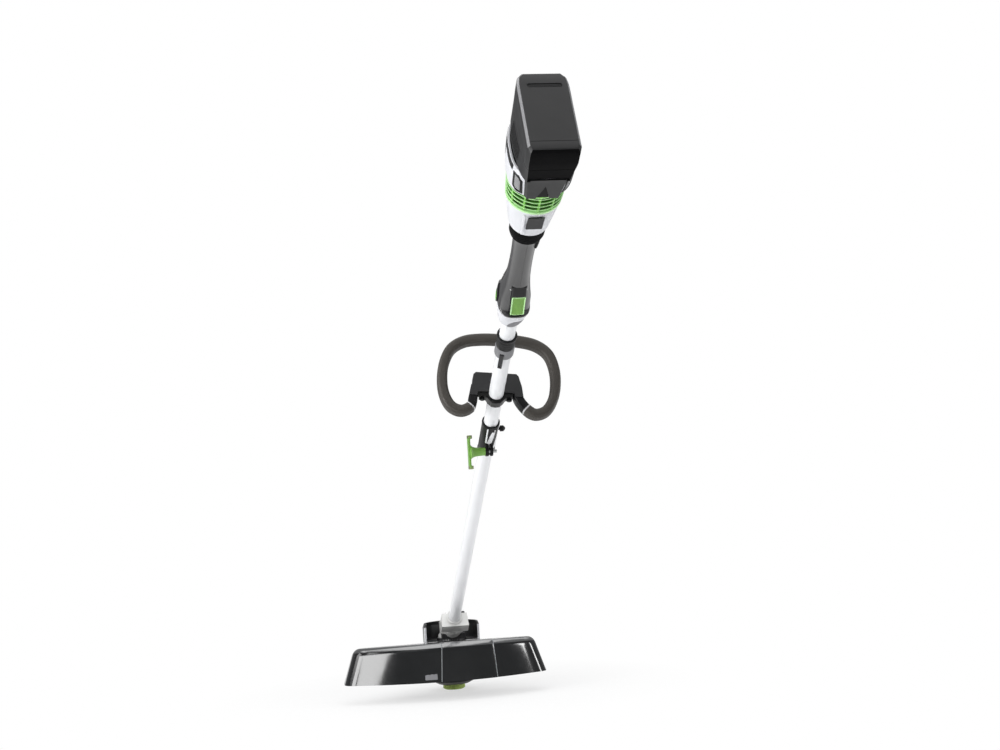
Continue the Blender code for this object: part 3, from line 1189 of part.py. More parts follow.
def powerhead_shell(skins, shaft):
    windows = together(*[
        moved(box(MOTOR_BORE_R - 6, MOTOR_BORE_R + 12, -6, 6, Z_RING + 8, Z_BODY - 8),
              Matrix.Rotation(math.radians(60 * k + 30), 4, "Z"))
        for k in range(6)
    ])
    vent_z = Z_BODY + 4
    vent = [(vent_z, -9), (vent_z + 30, -9), (vent_z + 38, -2), (vent_z + 38, 9), (vent_z + 8, 9), (vent_z, 2)]

    def on_corner(shape, side):
        return turned(shape, -VENT_TURN * side, "Z")

    latch_slot = box(-LATCH_HALF - 0.8, LATCH_HALF + 0.8, 40, 80, Z_DOCK - 22, Z_DOCK + 1)
    for name, side in (("housing_left", -1), ("housing_right", 1)):
        shell = piece(name, half_shell(housing_stations(), side, SHELL_WALL), skins.light_plastic, shaft)
        join(shell, *[bearing_rib(side, z) for z in (RIB_FRONT, RIB_REAR)])
        cut(shell, windows, on_corner(side_plate(vent, 14, side * 50), side), latch_slot)

    profile = [(39.3, Z_RING + GAP), (40.8, Z_RING + 4)]
    slot = (RING_LENGTH - 10) / VENT_ROWS - VENT_RIB
    for row in range(VENT_ROWS):
        low = Z_RING + 5 + VENT_RIB / 2 + row * (slot + VENT_RIB)
        rim = 41.2 + 0.8 * row
        profile += [(rim, low), (rim - 4, low + 2), (rim - 4, low + slot - 2), (rim, low + slot)]
    profile += [
        (43.6, Z_BODY - 3), (43.6, Z_BODY - GAP), (MOTOR_BORE_R + SHELL_WALL + 3 * GAP, Z_BODY - GAP),
        (MOTOR_BORE_R + SHELL_WALL + 3 * GAP, Z_RING + GAP),
    ]
    piece("vent_ring", revolve(profile, 20), skins.green_plastic, shaft)

    middle = vent_z + 19
    small = [(middle + (z - middle) * 0.98, y * 0.96) for z, y in vent]
    proud = [(z, half + VENT_PROUD, top, bottom + VENT_PROUD, power) for z, half, top, bottom, power in housing_stations()]
    for name, side in (("vent_left", -1), ("vent_right", 1)):
        grille = piece(name, half_shell(proud, side, SHELL_WALL + VENT_PROUD), skins.black_plastic, shaft)
        trim(grille, on_corner(side_plate(small, 14, side * 50), side))
        bars = []
        for k in range(5):
            z = vent_z + 6.5 + 5 * k
            bars.append(side_plate([(z, -5.5), (z + 2.4, -5.5), (z + 4.4, 5.5), (z + 2, 5.5)], 13, side * 50))
        cut(grille, on_corner(together(*bars), side))

    rows = []
    for z, half in ((Z_BODY + 2, COVER_HALF_LOW), (Z_BODY + 12, COVER_HALF_LOW + 2), (Z_DOCK - 14, COVER_HALF_HIGH - 1),
                    (Z_DOCK - 1, COVER_HALF_HIGH)):
        station = station_at(housing_stations(), z)
        seat = [(half * share, surface_y(half * share, station) - 2 * GAP, z) for share in (1, 0.8, 0.5, 0, -0.5, -0.8, -1)]
        low = seat[3][1] - COVER_T
        rows.append([(-half + 0.5, seat[0][1] - 1.5, z), (-half + 3, low, z), (half - 3, low, z), (half - 0.5, seat[0][1] - 1.5, z), *seat])
    cover = piece("underside_cover", loft(rows), skins.dark_plastic, shaft)
    notch = loft([[(-5, y, Z_BODY + 1), (5, y, Z_BODY + 1), (5, y, Z_BODY + 24), (0, y, Z_BODY + 36), (-5, y, Z_BODY + 24)]
                  for y in (-70, -30)])
    cut(cover, notch)

    rows = []
    for z in (Z_RING - 36, Z_RING - 6):
        y = -(30.5 + 6 * (z - Z_CONE - 5) / (CONE_LENGTH - 23)) - 0.9
        y = max(y, -39.4)
        rows.append([(-12, y, z), (-11, y - 1.8, z), (11, y - 1.8, z), (12, y, z)])
    piece("service_cover", loft(rows), skins.dark_plastic, shaft)


def motor(skins, shaft):
    r = MOTOR_BORE_R - GAP
    stator_z = RIB_FRONT + PLATE_T + 2
    stator = piece("motor_stator", pipe(r, STATOR_BORE_R, stator_z, stator_z + STATOR_LENGTH), skins.copper, shaft)
    slots = [turned(shifted(rod(4.5, stator_z - 1, stator_z + STATOR_LENGTH + 1, 6), x=r - 8.5), 60 * k, "Z") for k in range(6)]
    cut(stator, together(*slots))
    rotor_z = stator_z - 1
    piece("motor_rotor", pipe(ROTOR_R, DRIVE_R + GAP, rotor_z, rotor_z + STATOR_LENGTH + 2), skins.steel, shaft)
    ring = pipe(DRIVE_R + BEARING_WALL, DRIVE_R + GAP, 0, PLATE_T, 12)
    piece("front_motor_bearing", shifted(ring, z=RIB_FRONT), skins.steel, shaft)
    piece("rear_motor_bearing", shifted(ring, z=RIB_REAR), skins.steel, shaft)
    rear = RIB_REAR
    hub_z = rear + PLATE_T + 2
    fan = piece("cooling_fan", revolve([(9, hub_z), (9, hub_z + 7), (DRIVE_R + GAP, hub_z + 7), (DRIVE_R + GAP, hub_z)], 20),
                skins.black_plastic, shaft)
    blade = loft([
        [(7.5, -1.6, hub_z + 0.5), (7.5, -0.1, hub_z + 0.5), (7.5, 3.2, hub_z + 6.5), (7.5, 1.7, hub_z + 6.5)],
        [(FAN_R, -3.0, hub_z + 0.5), (FAN_R, -1.8, hub_z + 0.5), (FAN_R, 4.2, hub_z + 6.5), (FAN_R, 3.0, hub_z + 6.5)],
    ])
    join(fan, together(*[turned(blade, 360 * k / FAN_BLADES, "Z") for k in range(FAN_BLADES)]))
    board_z = Z_DOCK - 19
    board = piece("controller_board", box(-32.9, 32.9, -38, 36, board_z, board_z + 1.8), skins.green_plastic, shaft)
    parts = [box(x, x + w, y, y + h, board_z + 1.7, board_z + t) for x, w, y, h, t in
             ((-26, 14, -30, 14, 8), (-6, 10, -30, 10, 6), (10, 16, -26, 18, 7), (-24, 20, 0, 12, 5), (6, 18, 6, 20, 8))]
    join(board, together(*parts))


def battery_dock(skins, shaft):
    """A plate closes the housing. Two T rails stand on it, and the pack slides down over them."""
    low = Z_DOCK - 6
    outline = [oval_point(math.tau * i / 32, 45.5 - SHELL_WALL - 1.3, 60 - SHELL_WALL - 1.4, 53 - SHELL_WALL - 1.3, 2.8)
               for i in range(32)]
    plate = piece("dock_plate", prism(outline, low, Z_DOCK), skins.black_plastic, shaft)
    rails = []
    half = RAIL_LENGTH / 2
    for s in (-1, 1):
        x0, x1 = sorted((s * (RAIL_HALF - 4), s * RAIL_HALF))
        y0, y1 = sorted((s * (RAIL_HALF - 4), s * (RAIL_HALF + RAIL_LIP)))
        rails.append(box(x0, x1, -half, half, Z_DOCK - 1, Z_DOCK + RAIL_RISE))
        rails.append(box(y0, y1, -half, half, Z_DOCK + RAIL_RISE - RAIL_T, Z_DOCK + RAIL_RISE))
    join(plate, *rails)
    latch_gap = box(-LATCH_HALF - 1, LATCH_HALF + 1, 49, 80, low - 1, Z_DOCK + 1)
    cut(plate, latch_gap)
    join(plate, box(-16, 16, -half + 4, -6, Z_DOCK - 1, Z_DOCK + RAIL_RISE - 0.5))
    slots = [box(x - 0.8, x + 0.8, -half + 8, 0, Z_DOCK + 2, Z_DOCK + RAIL_RISE + 1) for x in (-11, -4, 4, 11)]
    cut(plate, together(*slots))
    top = 62.0
    button = [(Z_DOCK - 20.5 + LATCH_TRAVEL, top - 5.5), (Z_DOCK - 19 + LATCH_TRAVEL, top + 1.5), (Z_DOCK - 9, top + 3),
              (Z_DOCK - 7.5, top + 0.5), (Z_DOCK - 3, top - 2), (Z_DOCK + 4.5, top - 2.5), (Z_DOCK + 4.5, top - 8), (Z_DOCK - 6, top - 9)]
    piece("pack_latch", bevelled_plate(button, LATCH_HALF, 1.2), skins.green_plastic, shaft)


def pack_outline(z):
    """The pack's outline at a height: cheeks bulge at the dock side and run out into the label face's box."""
    share = min(max((z - Z_PACK - 5) / (PACK_CHEEK - 5), 0), 1)
    half = [(a + (c - a) * share, b + (d - b) * share) for (a, b), (c, d) in zip(PACK_DOCK, PACK_FACE)]
    return [(x, y, z) for x, y in half] + [(-x, y, z) for x, y in reversed(half)]


def inset(loop, wall):
    """The loop drawn in by a wall, each point along its corner's middle line. The loop runs clockwise."""
    made = []
    for before, here, after in zip([loop[-1], *loop], loop, [*loop[1:], loop[0]]):
        before, here, after = Vector(before), Vector(here), Vector(after)
        a, b = (here - before).normalized(), (after - here).normalized()
        normal = Vector((a.y + b.y, -a.x - b.x, 0)).normalized()
        made.append(tuple(here + normal * wall / max(normal.dot(Vector((a.y, -a.x, 0))), 0.3)))
    return made


def battery_pack(skins, shaft):
    split = Z_PACK + PACK_SPLIT
    case = piece("battery_case", loft([inset(pack_outline(Z_PACK), 0.8), pack_outline(Z_PACK + 3), pack_outline(split)]),
                 skins.dark_plastic, shaft)
    floor = Z_PACK + RAIL_RISE + 3.5
    cavity = loft([inset(pack_outline(z), PACK_WALL) for z in (floor, split + 1)])
    half = RAIL_LENGTH / 2
    wide = RAIL_HALF + RAIL_LIP + 0.6
    narrow = RAIL_HALF + 0.6
    deep = Z_DOCK + RAIL_RISE + 0.6
    lip = Z_DOCK + RAIL_RISE - RAIL_T - 0.6
    channel = [
        box(-narrow, narrow, -PACK_BOTTOM - 2, half + 0.6, Z_PACK - 1, deep),
        box(-wide, wide, -PACK_BOTTOM - 2, half + 0.6, lip, deep),
    ]
    catch = box(-LATCH_HALF - 0.8, LATCH_HALF + 0.8, -PACK_BOTTOM - 2, 61.5, Z_PACK - 1, Z_DOCK + 5.5)
    cut(case, cavity, *channel, catch)

    low = split + GAP
    cover = piece("battery_cover", loft([
        pack_outline(low), pack_outline(Z_PACK + PACK_CHEEK), pack_outline(Z_LABEL - 4), inset(pack_outline(Z_LABEL), 1.4),
    ]), skins.dark_plastic, shaft)
    inner = loft([inset(pack_outline(z), PACK_WALL) for z in (low - 1, Z_PACK + PACK_CHEEK, Z_LABEL - PACK_WALL)])
    grip = loft([[(-20, 43.5, z), (25, 43.5, z), (25, 50.5, z), (-20, 50.5, z)] for z in (Z_LABEL - 1.2, Z_LABEL + 2)])
    cut(cover, inner, grip)
    pitch = 2 * CELL_R + 1
    middle = floor + CELL_R + 1
    high = (CELL_ROWS - 1) / 2 * pitch + CELL_R * 0.6
    pack = piece("cell_pack", box(-CELL_LENGTH / 2 + 8, CELL_LENGTH / 2 - 8, 1 - high, 1 + high, middle - 5, middle + pitch + 5),
                 skins.cell_wrap, shaft)
    for layer in range(2):
        for row in range(CELL_ROWS):
            cell = turned(rod(CELL_R, -CELL_LENGTH / 2, CELL_LENGTH / 2, 10), 90, "Y")
            join(pack, shifted(cell, y=(row - (CELL_ROWS - 1) / 2) * pitch + 1, z=middle + layer * pitch))


def main():
    clear_scene()
    skins = Skins()
    head = empty("spool_axis")
    shaft = empty("shaft_axis", None, (0, 0, AXIS_HEIGHT), (90 - SHAFT_TILT, 0, 0))
    tubes(skins, shaft)
    drive_shafts(skins, shaft)
    gear_head(skins, head, shaft, shaft)
    guard_pieces(skins, head)
    bump_head(skins, head)
    coupler(skins, shaft)
    loop_handle(skins, shaft)
    strap_ring(skins, shaft)
    rear_handle(skins, shaft)
    powerhead_shell(skins, shaft)
    motor(skins, shaft)
    battery_dock(skins, shaft)
    battery_pack(skins, shaft)


main()
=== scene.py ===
"""The looks of a cordless string trimmer: its mouldings, castings, tubes and line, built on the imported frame.

Shapes are given in millimetres. Those of the shaft are given about its own axis: Z runs up the tube from the
point where it crosses the spool axis, and Y points to its upper side. Those of the head are given about the
spool axis. Both are turned to the frame's metres when a mesh is made.
"""

import math

import bmesh
import bpy
from bpy.props import FloatProperty, FloatVectorProperty, IntProperty, PointerProperty
from mathutils import Matrix, Vector


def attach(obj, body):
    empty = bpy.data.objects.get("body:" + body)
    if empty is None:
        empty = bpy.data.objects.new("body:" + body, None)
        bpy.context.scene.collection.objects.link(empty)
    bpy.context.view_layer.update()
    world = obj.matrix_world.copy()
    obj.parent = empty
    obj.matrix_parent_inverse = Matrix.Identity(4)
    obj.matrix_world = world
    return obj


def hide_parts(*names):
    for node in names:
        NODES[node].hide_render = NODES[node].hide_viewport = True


bl_info = {
    "name": "Cordless string trimmer",
    "version": (1, 0, 0),
    "blender": (4, 5, 0),
    "location": "3D View > Sidebar > Trimmer",
    "description": "Builds the visible pieces and finishes of a cordless string trimmer on its frame",
    "category": "Add Mesh",
}

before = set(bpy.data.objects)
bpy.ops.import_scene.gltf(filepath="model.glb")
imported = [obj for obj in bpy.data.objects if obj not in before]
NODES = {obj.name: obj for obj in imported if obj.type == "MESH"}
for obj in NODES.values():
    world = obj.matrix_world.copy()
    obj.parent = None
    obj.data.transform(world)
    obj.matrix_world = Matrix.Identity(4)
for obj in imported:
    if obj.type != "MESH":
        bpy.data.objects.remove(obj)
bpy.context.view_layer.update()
MM = 0.001

SHAFT_TILT = 28.5
AXIS_HEIGHT = 121.0
SHAFT = Matrix.Translation((0, 0, AXIS_HEIGHT * MM)) @ Matrix.Rotation(math.radians(90 - SHAFT_TILT), 4, "X")
HEAD = Matrix.Identity(4)

TUBE_R = 12.7
Z_COUPLER = 818.0
Z_COUPLER_TOP = 923.0
Z_NOSE = 1217.0
Z_GRIP = 1262.0
Z_COLLAR = 1434.0
Z_CONE = 1462.0
Z_RING = 1522.0
Z_BODY = 1566.0
Z_DOCK = 1617.0
Z_PACK = Z_DOCK + 0.3
Z_LABEL = Z_PACK + 71.0
LOOP_Z = 994.0
STRAP_Z = 1124.0
BUTTON_Z = Z_COUPLER + 68.0
VENT_Z = Z_BODY + 4.0

SIDES = (("left", -1), ("right", 1))
SMOOTH = 32
WALL = 2.5
BORE_R = 13.0
SLEEVE_R = 15.3
STRAP_TURN = -24
VENT_TURN = -46
WING_TURN = -61.5
LOOP_TURN, LOOP_LEAN, LOOP_SHIFT = -7, 10, 5.0


def linear(code):
    """An sRGB hex colour as linear red, green and blue."""
    values = [int(code[i : i + 2], 16) / 255 for i in (1, 3, 5)]
    return [v / 12.92 if v <= 0.04045 else ((v + 0.055) / 1.055) ** 2.4 for v in values]


def colour(name, code, description):
    """A colour that a user can change, given as an sRGB hex value."""
    return FloatVectorProperty(
        name=name, description=description, subtype="COLOR", size=3, min=0, max=1, default=linear(code)
    )


def length(name, value, description, low, high):
    """A length that a user can change, given in millimetres and kept in metres."""
    return FloatProperty(
        name=name, description=description, unit="LENGTH", min=low * MM, max=high * MM, default=value * MM,
        precision=4
    )


class TrimmerSizes(bpy.types.PropertyGroup):
    """Sizes a user would change."""

    louvre_count: IntProperty(
        name="Louvre rows", description="Rows of louvres in the green ring", min=2, max=6, default=4,
    )
    mullion_count: IntProperty(
        name="Mullions", description="Bars across the louvre rows", min=4, max=24, default=12,
    )
    grip_band: length("Loop grip thickness", 17.5, "How thick the soft grip of the loop is", 0, 30)
    knob_ribs: IntProperty(
        name="Knob ribs", description="Grip ribs round the bump knob", min=6, max=40, default=20,
    )
    spool_ribs: IntProperty(
        name="Spool ribs", description="Ribs round the spool housing", min=6, max=40, default=16,
    )


class TrimmerColours(bpy.types.PropertyGroup):
    """Colours a user would change."""

    shell: colour("Housing", "#D6D7DB", "Light grey mouldings of the housing and nose")
    dark: colour("Dark mouldings", "#202021", "Battery pack, grip and covers")
    black: colour("Black mouldings", "#0F0F10", "Coupler, bracket and spool housing")
    guard: colour("Guard", "#0A0C0D", "The glossy guard")
    soft: colour("Soft grip", "#38342F", "The loop handle's foam-like grip")
    green: colour("Green mouldings", "#72B548", "Louvre ring, trigger and lever")
    knob: colour("Clamp knob", "#6FA043", "The wing knob")
    lime: colour("Bump knob", "#B4CC6A", "The bump knob")
    tube: colour("Tube", "#E4E5E7", "Powder coat of the tubes")
    casting: colour("Casting", "#D4D4D2", "The gear case")
    line: colour("Line", "#7FB648", "The cutting line")


# Materials


def add_node(tree, kind, links=(), **settings):
    """A node with its settings, and links as (input, output socket) pairs."""
    node = tree.nodes.new(kind)
    for key, value in settings.items():
        if hasattr(node, key):
            setattr(node, key, value)
        else:
            node.inputs[key.replace("_", " ")].default_value = value
    for socket, source in links:
        tree.links.new(source, node.inputs[socket])
    return node


def base_material(name, tint, roughness, **more):
    """A material with a plain Principled shader, the tree that holds it and the shader itself."""
    material = bpy.data.materials.new(name)
    material.use_nodes = True
    shader = material.node_tree.nodes["Principled BSDF"]
    shader.inputs["Base Color"].default_value = (*tint, 1)
    shader.inputs["Roughness"].default_value = roughness
    for key, value in more.items():
        shader.inputs[key.replace("_", " ")].default_value = value
    material.diffuse_color = (*tint, 1)
    return material, material.node_tree, shader


def surface(
    name, tint, roughness, grain=0.5, depth=0.012, spread=0.05, shade=0.06, rub=0.0, gain=1.0, lift=0.0,
    **more
):
    """A finish with a grain of the given size and depth in millimetres.

    Spread is how far the roughness wanders, shade how far the colour does, and rub lightens raised edges.
    Gain and lift multiply the tint and add to it. All else goes to the shader's own inputs.
    """
    tint = [min(c * gain + lift, 1) for c in tint]
    material, tree, shader = base_material(name, tint, roughness, **more)
    place = add_node(tree, "ShaderNodeTexCoord").outputs["Object"]
    fine = add_node(
        tree, "ShaderNodeTexNoise", [("Vector", place)], Scale=1 / (grain * MM), Detail=3.0, Roughness=0.6,
    )
    broad = add_node(
        tree, "ShaderNodeTexNoise", [("Vector", place)], Scale=1 / (PATCH * MM), Detail=4.0, Roughness=0.55,
    )
    rough = add_node(
        tree, "ShaderNodeMapRange", [("Value", broad.outputs["Fac"])], From_Min=0.3, From_Max=0.7,
        To_Min=max(roughness - spread, 0.02), To_Max=min(roughness + spread, 1.0),
    )
    tree.links.new(rough.outputs["Result"], shader.inputs["Roughness"])
    ramp = add_node(tree, "ShaderNodeValToRGB", [("Fac", broad.outputs["Fac"])])
    for stop, where, share in zip(ramp.color_ramp.elements, (0.3, 0.7), (1 - shade, 1 + shade)):
        stop.position = where
        stop.color = (*[min(c * share, 1) for c in tint], 1)
    tone = ramp.outputs["Color"]
    if rub:
        edge = add_node(tree, "ShaderNodeNewGeometry").outputs["Pointiness"]
        worn = add_node(
            tree, "ShaderNodeMapRange", [("Value", edge)], From_Min=0.52, From_Max=0.6, To_Max=rub,
        )
        pale = (*[min(c * 1.5 + 0.05, 1) for c in tint], 1)
        links = [("Factor", worn.outputs["Result"]), (6, tone)]
        mix = add_node(tree, "ShaderNodeMix", links, data_type="RGBA")
        mix.inputs[7].default_value = pale
        tone = mix.outputs[2]
    tree.links.new(tone, shader.inputs["Base Color"])
    bump = add_node(
        tree, "ShaderNodeBump", [("Height", fine.outputs["Fac"])], Strength=0.6, Distance=depth * MM,
    )
    tree.links.new(bump.outputs["Normal"], shader.inputs["Normal"])
    return material


def lay_lines(material, spacing, depth, axis):
    """Adds fine parallel lines, such as brushing or turning marks, to a finish."""
    tree = material.node_tree
    shader = tree.nodes["Principled BSDF"]
    where = add_node(tree, "ShaderNodeTexCoord").outputs["Object"]
    stretch = [0.02, 0.02, 0.02]
    stretch[axis] = 1.0
    squeeze = add_node(tree, "ShaderNodeMapping", [("Vector", where)])
    squeeze.inputs["Scale"].default_value = stretch
    lines = add_node(
        tree, "ShaderNodeTexNoise", [("Vector", squeeze.outputs["Vector"])], Scale=1 / (spacing * MM),
        Detail=2.0
    )
    old = shader.inputs["Normal"].links[0].from_socket
    bump = add_node(
        tree, "ShaderNodeBump", [("Height", lines.outputs["Fac"]), ("Normal", old)], Strength=0.5,
        Distance=depth * MM
    )
    tree.links.new(bump.outputs["Normal"], shader.inputs["Normal"])


# How wide the slow changes of tone and gloss are, in millimetres.
PATCH = 45

FINISHES = {}

# Each slot's material, named for what it is and how its surface was made, then its tint and roughness.
# The tint is one of the colours above or an sRGB hex value.
FINISH_ROWS = {
    # A spark-eroded tool: a soft satin with no clear reflections.
    "shell": ("moulded ABS light grey", "shell", 0.4, dict(shade=0.02, rub=0.1)),
    "dark": ("moulded ABS dark grey", "dark", 0.42, dict(depth=0.02, rub=0.15, Specular_IOR_Level=0.35)),
    # The grip's halves: the same plastic from a finer tool, with a broad sheen where the light grazes it. Its
    # tint is lifted a fifth over the dark plastic as a painted sheen.
    "painted sheen": ("fine moulded ABS dark grey", "dark", 0.33, dict(
        gain=1.2, grain=0.6, depth=0.015, shade=0.1, rub=0.1, Specular_IOR_Level=1.0, Coat_Weight=0.5,
        Coat_Roughness=0.35)),
    # The same plastic, polished along the label face's bevels: it mirrors the lamps. Its tint is far paler than
    # the dark plastic, as a painted highlight.
    "bevel": ("polished ABS dark grey", "#8C8C8E", 0.2, dict(grain=2.0, depth=0.004, shade=0.03)),
    # A polished tool: blacker, with a wet-looking edge highlight.
    "black": ("glass filled nylon black", "black", 0.36, dict(grain=0.9, rub=0.1, Specular_IOR_Level=0.16)),
    # The same nylon from a coarse tool: it hardly shines, so it stays black above the bright floor. Given to
    # the pack's downward faces, it is painted shade, darker than the dark plastic round them.
    "matt": (
        "coarse glass filled nylon", "#0A0A0B", 0.7, dict(grain=0.9, depth=0.03, Specular_IOR_Level=0.06),
    ),
    # A mirror-finished tool: glossy, with slow waves from cooling.
    "guard": ("polypropylene black gloss", "guard", 0.13, dict(
        grain=40, depth=0.08, spread=0.03, Specular_IOR_Level=0.75)),
    # The same, flame polished over the guard's shoulder, which mirrors the light above as a pale band.
    "shoulder": ("flame polished polypropylene", "guard", 0.22, dict(
        grain=40, depth=0.08, spread=0.03, Specular_IOR_Level=1.0, IOR=2.1, Coat_Weight=1.0,
        Coat_Roughness=0.15)),
    # Along the guard's creases: the same plastic, painted much greyer as a painted highlight, and duller.
    "guard crease highlight": ("rubbed polypropylene", "#8E9294", 0.3, dict(grain=1.5, depth=0.02)),
    # Soft thermoplastic rubber: no gloss, a fine leathery grain and a warm tone.
    "soft": (
        "soft touch rubber", "soft", 0.55, dict(grain=1.1, depth=0.06, shade=0.1, Specular_IOR_Level=0.45),
    ),
    # Moulded satin like the shell, its raised edges worn paler. A much paler copy is a painted highlight on the
    # ring's lower rim and lip, the louvres' front edges and the trigger's rim.
    "green": ("moulded ABS green", "green", 0.36, dict(shade=0.05, rub=0.2)),
    "green highlight": ("rubbed ABS green edge", "green", 0.4, dict(gain=1.1, lift=0.32, depth=0.01, shade=0.03)),
    # Scuffed by hands and gravel: duller and patchy, most of all on the knob that meets the ground.
    "knob": ("moulded nylon green", "knob", 0.45, dict(grain=0.7, depth=0.02, shade=0.07, rub=0.25)),
    "tip": ("scuffed nylon olive", "#7F8A5E", 0.5, dict(grain=0.7, depth=0.03, shade=0.08, rub=0.2)),
    "lime": ("scuffed nylon lime", "lime", 0.55, dict(grain=0.8, depth=0.05, shade=0.14, rub=0.3)),
    # Powder coat on an aluminium tube: satin, with waves too faint to break its long reflections.
    "tube": ("powder coated aluminium", "tube", 0.34, dict(grain=30, depth=0.004, spread=0.01, shade=0.008)),
    # Pressure die casting, tumbled: grainy grey metal with blurred reflections.
    "casting": ("tumbled die cast aluminium", "casting", 0.42, dict(
        Metallic=0.5, grain=0.8, depth=0.05, shade=0.1, rub=0.2)),
    # Plated and blackened steel: bright and dark metal, nearly free of grain.
    "steel": ("zinc plated steel", "#AFB1B0", 0.3, dict(Metallic=1.0, grain=1.2, depth=0.01)),
    "dark steel": ("blackened steel", "#2B2C2E", 0.4, dict(Metallic=0.8, grain=0.8, depth=0.02)),
    # Ground across, then hardened: a cold sharp glint.
    "blade": ("ground spring steel", "#B9BCBE", 0.25, dict(Metallic=1.0, grain=0.8, depth=0.01)),
    # Windings under clear enamel, warm and glossy from turn to turn.
    "copper": ("enamelled copper wire", "#B4652F", 0.35, dict(Metallic=0.9, grain=1.0, depth=0.03)),
    # Machined acetal: creamy, smooth and a little waxy.
    "nylon": ("natural acetal", "#E6E4DA", 0.4, dict(grain=0.8, depth=0.02, shade=0.02)),
    # Drawn line: smooth, and light comes through a little.
    "line": (
        "nylon monofilament", "line", 0.3, dict(grain=0.6, depth=0.015, shade=0.05, Transmission_Weight=0.15),
    ),
    # Printed mask over glass fibre: green, uneven over the tracks.
    "board": ("solder masked board", "#2F6B3A", 0.35, dict(grain=1.5, depth=0.03, shade=0.15)),
    # Shrunk film: glossy, with shallow puckers.
    "wrap": ("shrink wrapped cell", "#2F5F9E", 0.25, dict(grain=6.0, depth=0.05, shade=0.05)),
    # Small grey mouldings, satin like the shell. The pale one also makes the loop grip's cuffs, a painted
    # highlight.
    "rib": ("moulded ABS mid grey", "#7A7A7D", 0.45, dict(shade=0.04)),
    "pale grey and cuff highlight": ("moulded ABS pale grey", "#B9B9BB", 0.45, dict(shade=0.04)),
    # Painted shade for what lies behind louvres and vents, in the belly notch and in the strap slot: darker
    # than the parts round it, and dull, so that no lamp shows in it.
    "painted shade green": ("unlit ABS green", "#6C9A52", 0.7, dict(grain=1.0, depth=0.02)),
    "painted shade": ("unlit vent depth", "#0B0B0C", 0.85, dict(grain=1.0, depth=0.02)),
}

# Slots with grinding or winding marks: their spacing and depth in millimetres, and the axis they cross.
LINED = {"steel": (0.25, 0.008, 2), "blade": (0.2, 0.01, 1), "copper": (0.8, 0.2, 2)}


def make_finishes(tints):
    """Makes every material of the table."""
    for slot, (name, tint, roughness, more) in FINISH_ROWS.items():
        tint = linear(tint) if tint.startswith("#") else getattr(tints, tint)
        FINISHES[slot] = surface(name, tint, roughness, **more)
    for slot, marks in LINED.items():
        lay_lines(FINISHES[slot], *marks)


# Mesh helpers


def mesh_of(name, shape, place, weld=False):
    """A mesh from a shape in millimetres, with its faces turned outward."""
    mesh = bpy.data.meshes.new(name)
    mesh.from_pydata([place @ Vector([c * MM for c in p]) for p in shape[0]], [], shape[1])
    work = bmesh.new()
    work.from_mesh(mesh)
    if weld:
        bmesh.ops.remove_doubles(work, verts=work.verts, dist=1e-6)
    bmesh.ops.recalc_face_normals(work, faces=work.faces)
    work.to_mesh(mesh)
    work.free()
    return mesh


def put(name, body, skin, shape, place=SHAFT, smooth=SMOOTH, edge=0.0):
    """A piece of the trimmer from a shape, or from a list of shapes. It rides on its body."""
    mesh = mesh_of(name, shape if isinstance(shape, tuple) else together(*shape), place, weld=True)
    mesh.shade_smooth()
    mesh.set_sharp_from_angle(angle=math.radians(smooth))
    mesh.materials.append(FINISHES[skin])
    piece = bpy.data.objects.new(name, mesh)
    bpy.context.scene.collection.objects.link(piece)
    if edge:
        round_edges(piece, edge)
    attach(piece, body)
    return piece


def round_edges(piece, width, parts=2):
    """Rounds a piece's sharp edges to a width in millimetres."""
    step = piece.modifiers.new("Rounded edges", "BEVEL")
    step.width = width * MM
    step.segments = parts
    step.limit_method = "ANGLE"
    step.angle_limit = math.radians(SMOOTH)
    step.harden_normals = True
    step.miter_outer = "MITER_ARC"


def together(*shapes):
    """Several shapes as one. A shape is its points in millimetres and its faces."""
    points, faces = [], []
    for more_points, more_faces in shapes:
        start = len(points)
        points += list(more_points)
        faces += [[i + start for i in face] for face in more_faces]
    return points, faces


def moved(shape, matrix):
    """A shape after a matrix in millimetres."""
    return [tuple(matrix @ Vector(p)) for p in shape[0]], shape[1]


def shifted(shape, x=0, y=0, z=0):
    """A shape moved by millimetres."""
    return moved(shape, Matrix.Translation((x, y, z)))


def turned(shape, angle, axis):
    """A shape turned about an axis by degrees."""
    return moved(shape, Matrix.Rotation(math.radians(angle), 4, axis))


def across(shape, **shift):
    """A shape made along Z, laid along X and moved."""
    return shifted(turned(shape, 90, "Y"), **shift)


def loft(loops, closed=False):
    """A skin over loops of equal count, with flat ends or closed to a ring."""
    count = len(loops[0])
    points = [p for loop in loops for p in loop]
    faces = []
    for k in range(len(loops) if closed else len(loops) - 1):
        a, b = k * count, (k + 1) % len(loops) * count
        faces += [[a + i, a + (i + 1) % count, b + (i + 1) % count, b + i] for i in range(count)]
    if not closed:
        faces.append(list(range(count)))
        faces.append([len(points) - count + i for i in range(count)])
    return points, faces


def circle(radius, z, count):
    """A ring of points about Z."""
    turns = [math.tau * i / count for i in range(count)]
    return [(radius * math.cos(a), radius * math.sin(a), z) for a in turns]


def revolve(profile, count=48, base=0.0):
    """A turned solid from (radius, height over the base) points, or a ring where none is on the axis."""
    loops = [circle(max(radius, 0.01), base + z, count) for radius, z in profile]
    return loft(loops, closed=profile[0][0] > 0)


def rod(radius, low, high, count=24, chamfer=0.4):
    """A round bar along Z with chamfered ends."""
    inner = radius - chamfer
    ends = [
        (0, low), (inner, low), (radius, low + chamfer), (radius, high - chamfer), (inner, high), (0, high),
    ]
    return revolve(ends, count)


def drill(radius, low, high, count):
    """A round bar along Z with sharp ends, to cut a hole with."""
    return rod(radius, low, high, count, 0.01)


def prism(outline, low, high):
    """An outline in (x, y) pushed up from one height to another."""
    return loft([[(x, y, low) for x, y in outline], [(x, y, high) for x, y in outline]])


